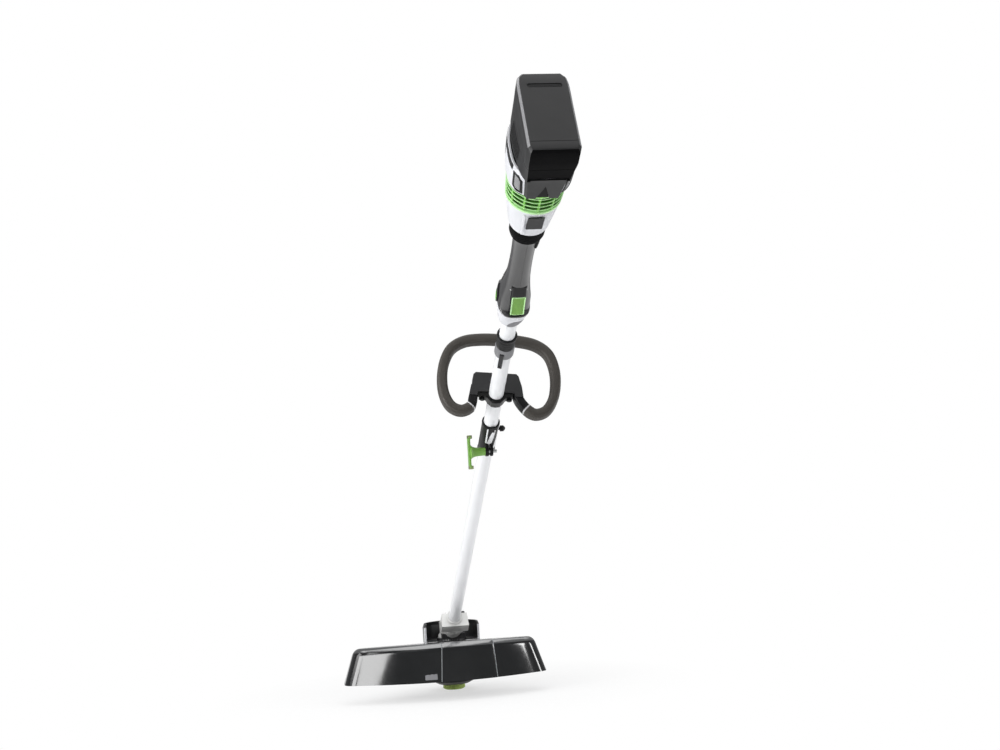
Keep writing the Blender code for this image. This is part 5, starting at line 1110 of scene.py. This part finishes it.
        lever = saddle("lever_saddle", "dark", 0.0, lever_outline(-0.1))
        round_edges(lever, 0.6)
        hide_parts("lock_off_lever")
        centre = LEVER_START + 15
        black = saddle("lever_rim", "black", 0.2, lens_outline(centre, 14.8, 11.6, 9.8, 9.4))
        round_edges(black, 0.2)
        lens = saddle("lever_lens", "green", 0.5, lens_outline(centre, 14.8, 9.2, 8.0, 7.8))
        round_edges(lens, 0.3)
        grooves = []
        for k in range(4):
            z = LEVER_START + 14 + 5 * k
            y = station_at(rows, z)[2] + 4.1
            grooves.append(box(-9, 9, y - 0.6, y + 0.25, z, z + 1.6))
        put("lever_thumb_ridges", "lock_off", "dark", grooves, edge=0.25)


class OBJECT_OT_trimmer_tubes(Build, bpy.types.Operator):
    """Makes the coats of the two tubes, the strap ring and its tab"""

    bl_idname = "trimmer.tubes"
    bl_label = "Tubes and strap ring"

    def make(self, sizes):
        for node, body in (("upper_tube", "powerhead"), ("lower_tube", "attachment")):
            low, high = span(node)
            wall = [(TUBE_R, low + 0.4 + (high - low - 0.8) * k / 24) for k in range(25)]
            tube = put(
                f"{node}_coat", body, "tube",
                revolve([(11.1, low), (12.4, low), *wall, (12.4, high), (11.1, high)], 72),
            )
            if node == "lower_tube":
                carve(tube, across(drill(3.2, 0, 20, 20), z=BUTTON_Z))
            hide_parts(node)
        profile = [(13, 0), (14.5, 0), (15.6, 1.6), (16, 3.4), (16, 21.6), (15.2, 23.4), (15.1, 24), (13, 24)]
        ring = put("strap_collar", "powerhead", "rib", revolve(profile, 72, STRAP_Z))
        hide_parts("strap_ring")
        put("strap_band", "powerhead", "black", revolve([
            (13, 24.1), (15, 24.1), (15.2, 24.6), (15.2, 46), (16, 47), (16.6, 48.4), (16.6, 51.4), (16, 52),
            (13, 52),
        ], 72, STRAP_Z))
        for k in range(3):
            groove = revolve([(15, 0), (15.45, 0.4), (15.45, 1.2), (15, 1.6)], 72, STRAP_Z + 29 + 5 * k)
            put(f"strap_groove_{k}", "powerhead", "dark", groove)
        tab = at(
            STRAP_Z,
            [(-20, -19.2), (-20, -16.6), (-1, -15.2), (4, -14.5), (16, -14.5), (16, -18.2), (-2, -19.4)],
        )
        leaf = put("strap_tab", "powerhead", "dark", turned(side_plate(tab, 3.5), STRAP_TURN, "Z"))
        hole = shifted(turned(drill(1.8, -22, -13, 20), -90, "X"), z=STRAP_Z - 15)
        carve(leaf, turned(hole, STRAP_TURN, "Z"))
        round_edges(leaf, 0.5)
        # Painted shade: a near-black sheet in the strap tab's slot.
        slot = turned(box(-1.0, 1.0, -18.5, -18.1, STRAP_Z + 3, STRAP_Z + 12), STRAP_TURN, "Z")
        put("strap_slot", "powerhead", "painted shade", slot)
        dress("nylon", "upper_liner", "lower_liner")
        dress("steel", "upper_drive_shaft", "lower_drive_shaft")


class OBJECT_OT_trimmer_coupler(Build, bpy.types.Operator):
    """Makes the coupler with its window, its wing knob and its release button"""

    bl_idname = "trimmer.coupler"
    bl_label = "Coupler"

    def make(self, sizes):
        z0, z1 = Z_COUPLER, Z_COUPLER_TOP
        sleeve = revolve(
            [(12.8, 0), (14.4, 0), (SLEEVE_R, 1), (SLEEVE_R, 94), (14.6, 95), (12.8, 95)], 72, z0,
        )
        turns = [math.pi * i / 16 for i in range(17)]
        nose = [(z0 + 32 - 9 * math.cos(a), -24.5 - 8.6 * math.sin(a)) for a in turns]
        ears = [
            side_plate([(z0 + 20, -12), *nose, (z0 + 44, -12)], half, x)
            for half, x in ((3.0, -4.4), (2.5, 3.8))
        ]
        body = put("coupler_sleeve", "powerhead", "black", sleeve)
        carve(body, across(drill(3.4, 10, 20, 20), z=BUTTON_Z))
        put("coupler_ears", "powerhead", "black", ears, edge=0.8)
        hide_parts("coupler_body")
        rings = [revolve([(15, 0), (15.9, 0.5), (15.9, 2.4), (15, 2.9)], 64, z) for z in (z0 + 2.2, z1 - 15)]
        put("coupler_rings", "powerhead", "black", rings)

        def wrap(name, skin, rows, out):
            """A thin patch round the sleeve from rows of (z, low and high angle)."""
            loops = []
            for z, low, high in eased(rows, 5):
                loops.append(patch_ring((z, SLEEVE_R, SLEEVE_R, SLEEVE_R, 2), 1, out, 0.5, low, high, 8))
            put(name, "powerhead", skin, loft(loops))

        wrap(
            "coupler_window", "tube",
            [(z0 + 22, -108, -8), (z0 + 44, -106, -8), (z0 + 64, -96, -8), (z0 + 86, -80, -8)], 0.2,
        )
        # Painted highlight: a pale streak down the sleeve's left side, in the tubes' colour.
        wrap(
            "coupler_glint", "tube", [(z0 + 30, -118, -108), (z0 + 60, -120, -110), (z0 + 92, -120, -112)],
            0.2,
        )
        wrap(
            "coupler_strip", "black",
            [(z0 + 20, -88, -62), (z0 + 44, -74, -50), (z0 + 64, -64, -42), (z0 + 86, -60, -40)], 0.7,
        )
        catch = box(-3.6, 5.2, -17.4, -14.0, z1 - 22, z1 - 7)
        put("coupler_catch", "powerhead", "black", catch, edge=0.8)
        knob_z, knob_y, arm = z0 + 32, -24.5, 30.0
        x_in, x_out, ear = -31.0, -38.0, 7.6
        wings = []
        for i in range(33):
            share = -1 + i / 16
            far = abs(share)
            thick = 4.3 + 2.7 * min(max((far - 0.78) / 0.1, 0), 1) ** 0.8 + 1.6 * max(1 - far / 0.45, 0) ** 2
            deep = 6.5 * (0.84 + 0.16 * min((1 - far) / 0.07, 1)) - 0.5 * math.cos(math.pi * far)
            section = rounded(thick / 2, deep, min(thick / 2, deep) * 0.55, 3, thick / 2)
            wings.append([(x_out + x, y, share * arm) for x, y in section])
        stem = revolve([
            (0, x_out + 1), (10.5, x_out + 4.2), (13.0, x_in - 2.4), (11.0, x_in - 0.6), (9.4, x_in + 2.4),
            (8.2, x_in + 6), (7.6, x_in + 12), (7.3, x_in + 16), (7.3, -ear), (0, -ear),
        ], 48)
        spot = {"y": knob_y, "z": knob_z}
        shapes = [shifted(turned(loft(wings), WING_TURN, "X"), **spot), across(stem, **spot)]
        knob = put("wing_knob_body", "wing_knob", "knob", shapes)
        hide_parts("clamp_knob")
        tips = []
        for s in (-1, 1):
            low, high = sorted((s * arm * 0.8, s * (arm - 0.1)))
            tip = prism(rounded(3.9, 6.9, 1.4, 3, x_out + 3.9), low, high)
            tips.append(shifted(turned(tip, WING_TURN, "X"), **spot))
        put("wing_tips", "wing_knob", "tip", tips, edge=0.5)
        put("clamp_stud", "wing_knob", "steel", across(rod(3.0, -9, 13.4, 20), **spot))
        cap = [
            (0, 13.1), (2.8, 13.1), (2.8, 18.4), (5.4, 18.5),
            (5.5, 23.8), (4.6, 25.2), (1.8, 27.7), (0, 28.0),
        ]
        button = put("button_cap", "coupler_button", "black", across(revolve(cap, 40), z=BUTTON_Z))
        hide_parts("release_button")


def loop_path(steps):
    """The band's middle line, from the saddle round one lobe, the top and the other lobe to the saddle."""
    half = [
        (35.5, 14), (38.5, -4), (47, -22), (63, -31), (81, -24), (93, -3), (97.5, 25), (95, 55), (84, 82),
        (62, 98), (32, 104), (0, 105),
    ]
    shift = [0, 0] + [LOOP_SHIFT] * (len(half) - 2)
    right = [(x + move, y, 0) for (x, y), move in zip(half, shift)]
    left = [(-x + move, y, 0) for (x, y), move in zip(half, shift)]
    return [Vector(p) for p in eased(right + left[-2::-1], steps)]


class OBJECT_OT_trimmer_loop(Build, bpy.types.Operator):
    """Makes the loop handle with its soft grip, saddle, clamp and bolts"""

    bl_idname = "trimmer.loop"
    bl_label = "Loop handle"

    def make(self, sizes):
        plane = SHAFT @ Matrix.Translation((0, 0, LOOP_Z * MM))
        for angle, axis in ((LOOP_TURN, "Z"), (LOOP_LEAN, "X")):
            plane = plane @ Matrix.Rotation(math.radians(angle), 4, axis)
        lobe = [i for i, p in enumerate(loop_path(2)) if p.y < -20 and abs(p.x - LOOP_SHIFT) > 44]
        first, last = lobe[0] * 4, lobe[-1] * 4
        path = loop_path(8)
        band = sizes.grip_band / MM / 2

        def section(out=0.0):
            """The soft grip's section, so far outside it."""
            return rounded(band + out, 12 + out, 6.6, 6)

        skin = sweep(path[first : last + 1], section())
        ends = []
        for loop, inner in ((skin[0], skin[1]), (skin[-1], skin[-2])):
            middle = sum((Vector(p) for p in loop), Vector()) / len(loop)
            back = (middle - sum((Vector(p) for p in inner), Vector()) / len(inner)).normalized()
            ends.append([tuple(middle + (Vector(p) - middle) * 0.92 + back * 0.45) for p in loop])
        grip = put("loop_soft_grip", "loop_handle", "soft", loft([ends[0], *skin, ends[1]]), place=plane)
        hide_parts("loop_grip")
        # The pale cuffs at the grip's two ends are a painted highlight.
        cuff_highlights, seams = [], []
        for i, sign in ((first, 1), (last, -1)):
            near = i + 3 * sign
            cuff_highlights.append(loft(sweep([path[i], path[i + sign]], section(0.12))))
            seams.append(loft(sweep([path[near], path[near + sign]], section(0.1))))
        put("loop_pale_cuffs", "loop_handle", "pale grey and cuff highlight", cuff_highlights, place=plane)
        put("loop_grip_seams", "loop_handle", "soft", seams, place=plane)
        arm = rounded(7.75, 11.5, 4.0, 4)
        arms = [loft(sweep(path[: first + 1], arm)), loft(sweep(path[last:], arm))]
        put("loop_arms", "loop_handle", "black", arms, place=plane)
        move, high, low = 2.5, 35, 40
        line = [
            (-low, 33), (-low + 4, 37), (move + high - 4, 37), (move + high, 33), (low + 3.5, 14),
            (low + 6.5, -5), (low - 7, -5), (low - 9.5, 1.5), (-low + 9.5, 1.5), (-low + 7, -5),
            (-low - 6.5, -5), (-low - 1.5, 14),
        ]
        block = put("loop_saddle", "loop_handle", "dark", prism(line, -13, 13), place=plane)
        bore = drill(BORE_R, LOOP_Z - 60, LOOP_Z + 60, 64)
        carve(block, bore)
        carve(block, prism(rounded(31, 7, 2, 4, 2.5, 26), -20, -5), place=plane)
        round_edges(block, 1.2, 3)
        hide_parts("loop_frame")
        webs = [box(x - 0.9, x + 0.9, 19.4, 32.6, -12.4, -4.6) for x in (-12.5, 2.5, 17.5)]
        put("loop_saddle_webs", "loop_handle", "dark", webs, place=plane, edge=0.4)
        clamp_r = TUBE_R + 4.5
        arc = [math.radians(180 + 180 * i / 40) for i in range(41)]
        outline = [(-28.5, 1.2), (-28.5, -5), (-clamp_r - 0.8, -5)]
        outline += [(clamp_r * math.cos(a), clamp_r * math.sin(a)) for a in arc if math.sin(a) < -0.32]
        outline += [(clamp_r + 0.8, -5), (28.5, -5), (28.5, 1.2)]
        clamp = put("loop_clamp_strap", "loop_handle", "black", prism(outline, -10, 10), place=plane)
        carve(clamp, bore)
        round_edges(clamp, 0.9)
        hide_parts("loop_clamp")
        boss = loft([
            [(x, y, z) for x, y in ((-9, -14.6), (-8, -17.0), (0, -18.4), (8, -17.0), (9, -14.6))]
            for z in (-9.2, 9.2)
        ])
        put("loop_clamp_boss", "loop_handle", "dark", boss, place=plane, edge=0.6)
        dress("dark steel", "loop_bolt_left", "loop_bolt_right")


class OBJECT_OT_trimmer_gear_head(Build, bpy.types.Operator):
    """Finishes the gear case and its bracket, and makes the bead, skirt and striations on them"""

    bl_idname = "trimmer.gear_head"
    bl_label = "Gear head"

    def make(self, sizes):
        dress("casting", "gear_case", smooth=30)
        dress("dark steel", "clamp_bolt")
        # The bracket takes the same painted sheen.
        dress("painted sheen", "guard_bracket", smooth=30)
        ears = [box(x - 9, x + 9, -22.2, -21.5, 68, 86) for x in (-18, 18)]
        put("case_face_pads", "attachment", "casting", ears, edge=0.3)
        bead = revolve([(16.0, 94.4), (17.4, 94.9), (17.4, 96.6), (16.0, 97.2)], 64)
        put("case_mouth_bead", "attachment", "casting", bead)
        ribs = around(box(31.6, 32.5, -0.75, 0.75, 108.0, 114.4), 48)
        put("flange_striations", "attachment", "black", ribs, place=HEAD, edge=0.2)
        skirt = [box(-25, 28, -35.5, 24, 113.6, 125.8)]
        skirt += [box(-24 + 3.2 * k, -22.4 + 3.2 * k, -36.2, -35, 114.4, 125) for k in range(16)]
        put("flange_skirt", "attachment", "dark", skirt, place=HEAD, edge=0.3)
        # Painted highlight: light grey strips on the bracket's two ends.
        ends = [turned(box(59.8, 64.1, -2.1, 2.1, 108.2, 141), angle, "Z") for angle in (-14.4, 194.4)]
        put("bracket_edges", "attachment", "shell", ends, place=HEAD, edge=0.4)
        dress("steel", "output_bearing", "pinion_bearing", "output_gear", "bevel_pinion", smooth=25)
        dress("steel", "front_motor_bearing", "rear_motor_bearing", smooth=25)


GUARD_BOTTOM, GUARD_TOP, GUARD_SLOPE = 41.0, 106.4, 4.4
GUARD_FLARE, GUARD_DROOP = 22.0, 6.0
GUARD_CENTRE, GUARD_HALF = -30.0, 198.0
GUARD_REAR, GUARD_SAG, HUB_R = 200.0, 62.0, 48.0
BLOCK_X, BLOCK_HALF = 12.0, 56.0


def guard_top(y):
    """The height of the guard's sloping top."""
    return GUARD_TOP - y * math.tan(math.radians(GUARD_SLOPE))


def guard_rear(x, spread, inset):
    """How far back the guard's curved rear wall lies at a place across it."""
    half = GUARD_HALF + GUARD_FLARE * spread - inset
    return -(GUARD_REAR + GUARD_DROOP * spread - inset) + GUARD_SAG * ((x - GUARD_CENTRE) / (half - 5)) ** 2


def guard_outline(inset, spread):
    """The plan outline, from the right wing round the rear to the left wing and back over the hub."""
    centre = GUARD_CENTRE
    reach = GUARD_HALF + GUARD_FLARE * spread - inset
    turn = max(26.0 - inset, 6)
    wing_y = -(GUARD_REAR + GUARD_DROOP * spread - inset) + GUARD_SAG + 48
    corner = guard_rear(centre + reach - turn * 0.5, spread, inset)
    start, knee = Vector((reach, corner + turn)), Vector((reach, corner))
    end = Vector((reach - turn, guard_rear(centre + reach - turn, spread, inset)))
    round_corner = []
    for i in range(13):
        share = i / 12
        round_corner.append(start * (1 - share) ** 2 + knee * 2 * share * (1 - share) + end * share**2)
    steps = 44
    rear = [centre + (reach - turn) * (1 - 2 * i / steps) for i in range(1, steps)]
    outline = [(centre + p.x, p.y) for p in round_corner]
    outline += [(x, guard_rear(x, spread, inset)) for x in rear]
    outline += [(centre - p.x, p.y) for p in reversed(round_corner)]
    outline.append((centre - reach + inset * 0.4, wing_y - inset * 0.6))
    hub = HUB_R - inset
    for i in range(25):
        angle = math.radians(205 - 230 * i / 24)
        outline.append((hub * math.cos(angle), hub * math.sin(angle)))
    outline.append((centre + reach - inset * 0.4, wing_y - inset * 0.6))
    return outline


def block_line(spread, tuck):
    """The raised middle of the guard in plan, proud of its rear wall, with rounded shoulders."""
    half, front = BLOCK_HALF + 4.5 * spread, -HUB_R * 0.6
    line = [(BLOCK_X - half * 0.86, front)]
    for i in range(25):
        share = -1 + i / 12
        x = BLOCK_X + half * share
        proud = 2.0 - 1.2 * max((abs(share) - 0.975) / 0.025, 0) ** 2
        line.append((x, guard_rear(x, spread, tuck - proud)))
    line.append((BLOCK_X + half * 0.86, front))
    return line


def levels(shoulder, plan, rise=0.0):
    """Loops from the top down: the shoulder's rows, then a wall that spreads to the lip.

    A rise lifts the rows behind the hub and keeps those in front of it under the top.
    """

    def depth(drop, y):
        """How far a point lies below the sloping top."""
        if not rise:
            return drop
        return drop - rise if y < -HUB_R else max(drop, 0.6)

    loops = []
    for drop, spread, tuck in eased(shoulder, 4):
        loops.append([(x, y, guard_top(y) - depth(drop, y)) for x, y in plan(spread, tuck)])
    top = loops[-1]
    foot = [(x, y, GUARD_BOTTOM) for x, y in plan(1, 0)]
    for k in range(1, 13):
        loops.append([tuple(Vector(a).lerp(Vector(b), k / 12)) for a, b in zip(top, foot)])
    return loops


class OBJECT_OT_trimmer_guard(Build, bpy.types.Operator):
    """Makes the glossy guard with its raised middle, its creases and the line cutter"""

    bl_idname = "trimmer.guard"
    bl_label = "Guard"

    def make(self, sizes):
        shoulder = [(0, 0, 15), (0.8, 0, 9.5), (3.6, 0.02, 5), (7.7, 0.05, 1.8), (13.5, 0.1, 0)]
        outer = levels(shoulder, lambda spread, tuck: guard_outline(tuck, spread))
        wall = put("guard_shell", "attachment", "guard", loft(outer), place=HEAD, smooth=50)
        inner = [(3, 0, 13), (4, 0, 8), (7, 0.02, 3), (13, 0.1, 0)]
        hollow = levels(inner, lambda spread, tuck: guard_outline(3 + tuck, spread))
        hollow.append([(x, y, z - 6) for x, y, z in hollow[-1]])
        opening = []
        for y in (-98, HUB_R + 20):
            low, high = GUARD_BOTTOM - 12, guard_top(y) - 3.2
            opening.append([(-400, y, low), (400, y, low), (400, y, high), (-400, y, high)])
        hole = drill(20, 70, 140, 40)
        screws = [shifted(drill(2.8, 70, 140, 16), x=s * 26.5) for s in (-1, 1)]
        flat = box(-33, 33, -33, 33, guard_top(0), guard_top(0) + 20)
        block = levels(shoulder, block_line, 1.2)
        raised = put("guard_middle", "attachment", "guard", loft(block), place=HEAD, smooth=50)
        for shape in (loft(hollow), loft(opening), hole, *screws, flat):
            carve(wall, shape, place=HEAD)
            carve(raised, shape, place=HEAD)
        for piece in (wall, raised):
            reskin(piece, "shoulder", lambda spot, normal: spot.z > guard_top(spot.y) - 10, HEAD)
            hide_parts("guard")
        # Painted highlight: pale beads down the raised middle's two side edges.
        crease_highlights = []
        for column, side in ((1, -1), (25, 1)):
            line = [
                (loop[column][0] + side * 0.15, loop[column][1] + 0.25, loop[column][2] - 0.1)
                for loop in block[6:]
            ]
            line[-1] = (line[-1][0], line[-1][1], GUARD_BOTTOM + 0.6)
            crease_highlights.append(wire(line, 0.75, 8))
        put("guard_creases", "attachment", "guard crease highlight", crease_highlights, place=HEAD)
        pad = []
        for x in [-83 + 3.2 * k for k in range(9)]:
            foot = guard_rear(x, 0.9, 0)
            head = guard_rear(x, 0.7, 0)
            pad.append([(x, foot - 0.35, 47), (x, head - 0.35, 59), (x, head + 0.8, 59), (x, foot + 0.8, 47)])
        put("guard_plain_pad", "attachment", "rib", loft(pad), place=HEAD, edge=0.2)
        dress("blade", "line_cutter")
        dress("dark steel", "guard_screw_left", "guard_screw_right")


class OBJECT_OT_trimmer_spool(Build, bpy.types.Operator):
    """Makes the spool head, its bump knob, eyelets and line"""

    bl_idname = "trimmer.spool"
    bl_label = "Spool head"

    def make(self, sizes):
        dress("black", "spool_cover", "spool_housing", smooth=30)
        # The two places where the line comes out stay free.
        ribs = around(box(54.4, 56.0, -1.6, 1.6, 45, 62), sizes.spool_ribs)
        ribs = [rib for k, rib in enumerate(ribs) if k % (sizes.spool_ribs // 2)]
        put("spool_ribs", "spool_head", "black", ribs, place=HEAD, edge=0.6)
        tabs = around(box(53.6, 55.9, -5, 5, 34, 41.6), 4, 45)
        put("cover_tabs", "spool_head", "dark", tabs, place=HEAD, edge=0.5)
        knob = put("bump_knob_body", "bump_spool", "lime", revolve([
            (0, 0.0), (18.5, 0.0), (20.6, 0.5), (23.3, 2.2), (24.3, 5.0), (24.3, 10.4), (23.2, 12.2),
            (19.0, 12.5), (19.0, 23.7), (9.5, 23.7), (9.5, 20), (0, 20),
        ], 72), place=HEAD)
        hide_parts("bump_knob")
        grips = around(shifted(rod(1.5, 2.6, 11.6, 12, 0.6), x=23.4), sizes.knob_ribs)
        put("bump_knob_ribs", "bump_spool", "lime", grips, place=HEAD)
        rings = [revolve([(r, 0.02), (r + 1.0, 0.0), (r + 1.0, 0.5), (r, 0.5)], 48) for r in (8.0, 13.0)]
        put("bump_foot_rings", "bump_spool", "lime", rings, place=HEAD)
        dress("dark", "line_spool")
        dress("line", "line_winding")
        dress("steel", "knob_spring", smooth=60)
        dress("line", "cutting_line", smooth=60)
        dress("steel", "eyelet_left", "eyelet_right")


class OBJECT_OT_trimmer_motor(Build, bpy.types.Operator):
    """Finishes the motor and its fan"""

    bl_idname = "trimmer.motor"
    bl_label = "Motor"

    def make(self, sizes):
        dress("copper", "motor_stator")
        dress("steel", "motor_rotor")
        dress("black", "cooling_fan")


# Where the photograph was taken from, worked out from the shaft's taper and lean in it.
CAMERA_LENS = 53.61
CAMERA_PLACE = (-0.3835, -3.378, 0.4248)
CAMERA_TURN = (94.648, 3.432, -8.640)

# The floor in metres: how far it lies below the knob's foot, and how far it reaches each way.
FLOOR_GAP = 0.0006
FLOOR_REACH = 30


class SCENE_OT_trimmer_stage(bpy.types.Operator):
    """Makes the floor, soft lights, background and camera"""

    bl_idname = "trimmer.stage"
    bl_label = "Stage"
    bl_options = {"REGISTER", "UNDO"}

    def execute(self, context):
        scene = context.scene
        scene.view_settings.view_transform = "Standard"
        self.floor()
        self.world(scene)
        for name, spot, aim, wide, high, power in (
            # The left one burns out the left flanks, and the low ones mirror in the guard's ends.
            ("left_softbox", (-2.8, -0.9, 1.7), (0, -0.7, 0.7), 1.6, 1.6, 30),
            ("front_softbox", (-1.6, -3.6, 2.9), (0, -0.75, 0.45), 1.8, 1.8, 3),
            ("top_softbox", (0, -1.0, 2.3), (0, -1.0, 0.1), 2.6, 3.6, 38),
            ("low_left_softbox", (-2.2, -1.75, 0.8), (-0.1, -0.2, 0.1), 1.1, 0.9, 30),
            ("low_right_softbox", (2.3, -0.95, 0.6), (0, -0.2, 0.1), 0.3, 0.9, 14),
            ("back_softbox", (0.8, 1.8, 2.6), (0, -0.6, 0.4), 1.6, 1.6, 7),
        ):
            lamp = bpy.data.lights.new(name, "AREA")
            lamp.shape = "RECTANGLE"
            lamp.size = wide
            lamp.size_y = high
            lamp.energy = power
            light = bpy.data.objects.new(name, lamp)
            scene.collection.objects.link(light)
            light.location = spot
            light.rotation_euler = (Vector(aim) - Vector(spot)).to_track_quat("-Z", "Y").to_euler()
        camera = bpy.data.objects.new("camera", bpy.data.cameras.new("camera"))
        scene.collection.objects.link(camera)
        camera.data.sensor_width = 36
        camera.data.lens = CAMERA_LENS
        camera.location = CAMERA_PLACE
        camera.rotation_euler = [math.radians(a) for a in CAMERA_TURN]
        scene.camera = camera
        return {"FINISHED"}

    def floor(self):
        """A pale sheet that keeps the shadow near the trimmer and is plain white further out."""
        mesh = bpy.data.meshes.new("studio_floor")
        sheet = rectangle(-FLOOR_REACH, FLOOR_REACH, -FLOOR_REACH, FLOOR_REACH, 0)
        mesh.from_pydata(sheet, [], [[0, 1, 2, 3]])
        floor = bpy.data.objects.new("studio_floor", mesh)
        bpy.context.scene.collection.objects.link(floor)
        floor.location.z = -FLOOR_GAP
        material, tree, shader = base_material("seamless white paper", (0.93, 0.93, 0.93), 0.9)
        glow = add_node(tree, "ShaderNodeEmission", Color=(1, 1, 1, 1), Strength=1.0)
        clear = self.seen_by(tree, "Camera", "Glossy", "Transmission")
        place = add_node(tree, "ShaderNodeTexCoord").outputs["Object"]
        far = add_node(tree, "ShaderNodeVectorMath", [(0, place)], operation="LENGTH").outputs["Value"]
        fade = add_node(
            tree, "ShaderNodeMapRange", [("Value", far)], From_Min=0.12, From_Max=0.55, To_Min=0.6,
            To_Max=1.0,
        )
        share = add_node(
            tree, "ShaderNodeMath", [(0, clear), (1, fade.outputs["Result"])], operation="MULTIPLY",
        )
        self.blend(tree, share.outputs[0], shader, glow, "Material Output")
        mesh.materials.append(material)

    def world(self, scene):
        """A faint even light, behind a background that the camera sees as white."""
        scene.world = bpy.data.worlds.new("studio")
        scene.world.use_nodes = True
        tree = scene.world.node_tree
        back = tree.nodes["Background"]
        back.inputs["Color"].default_value = (0.97, 0.98, 1.0, 1)
        back.inputs["Strength"].default_value = 0.3
        white = add_node(tree, "ShaderNodeBackground", Color=(1, 1, 1, 1), Strength=1.0)
        self.blend(tree, self.seen_by(tree, "Camera", "Transmission"), back, white, "World Output")

    def seen_by(self, tree, *kinds):
        """A socket that is 1 for rays of the given kinds."""
        rays = add_node(tree, "ShaderNodeLightPath")
        found = rays.outputs[f"Is {kinds[0]} Ray"]
        for kind in kinds[1:]:
            links = [(0, found), (1, rays.outputs[f"Is {kind} Ray"])]
            found = add_node(tree, "ShaderNodeMath", links, operation="MAXIMUM").outputs[0]
        return found

    def blend(self, tree, share, first, second, output):
        """Mixes two shaders into a tree's output."""
        mix = add_node(
            tree, "ShaderNodeMixShader", [(0, share), (1, first.outputs[0]), (2, second.outputs[0])],
        )
        tree.links.new(mix.outputs[0], tree.nodes[output].inputs["Surface"])


OPERATORS = (
    SCENE_OT_trimmer_stage,
    OBJECT_OT_trimmer_battery,
    OBJECT_OT_trimmer_housing,
    OBJECT_OT_trimmer_louvres,
    OBJECT_OT_trimmer_grip,
    OBJECT_OT_trimmer_tubes,
    OBJECT_OT_trimmer_coupler,
    OBJECT_OT_trimmer_loop,
    OBJECT_OT_trimmer_gear_head,
    OBJECT_OT_trimmer_guard,
    OBJECT_OT_trimmer_spool,
    OBJECT_OT_trimmer_motor,
)


class VIEW3D_PT_trimmer(bpy.types.Panel):
    """The trimmer's pieces, sizes and colours"""

    bl_idname = "VIEW3D_PT_trimmer"
    bl_label = "String trimmer"
    bl_space_type = "VIEW_3D"
    bl_region_type = "UI"
    bl_category = "Trimmer"

    def draw(self, context):
        for group in (context.scene.trimmer_sizes, context.scene.trimmer_colours):
            column = self.layout.column()
            for name in group.__annotations__:
                column.prop(group, name)
        for operator in OPERATORS:
            self.layout.operator(operator.bl_idname)


CLASSES = (TrimmerSizes, TrimmerColours, *OPERATORS, VIEW3D_PT_trimmer)


def register():
    """Adds the classes and the settings to Blender."""
    for item in CLASSES:
        bpy.utils.register_class(item)
    bpy.types.Scene.trimmer_sizes = PointerProperty(type=TrimmerSizes)
    bpy.types.Scene.trimmer_colours = PointerProperty(type=TrimmerColours)


def unregister():
    """Takes them out again."""
    del bpy.types.Scene.trimmer_sizes
    del bpy.types.Scene.trimmer_colours
    for item in reversed(CLASSES):
        bpy.utils.unregister_class(item)


def main():
    """Registers the add-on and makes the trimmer."""
    register()
    make_finishes(bpy.context.scene.trimmer_colours)
    for operator in OPERATORS:
        group, name = operator.bl_idname.split(".")
        getattr(getattr(bpy.ops, group), name)()
    bpy.context.view_layer.update()


if __name__ == "__main__":
    main()
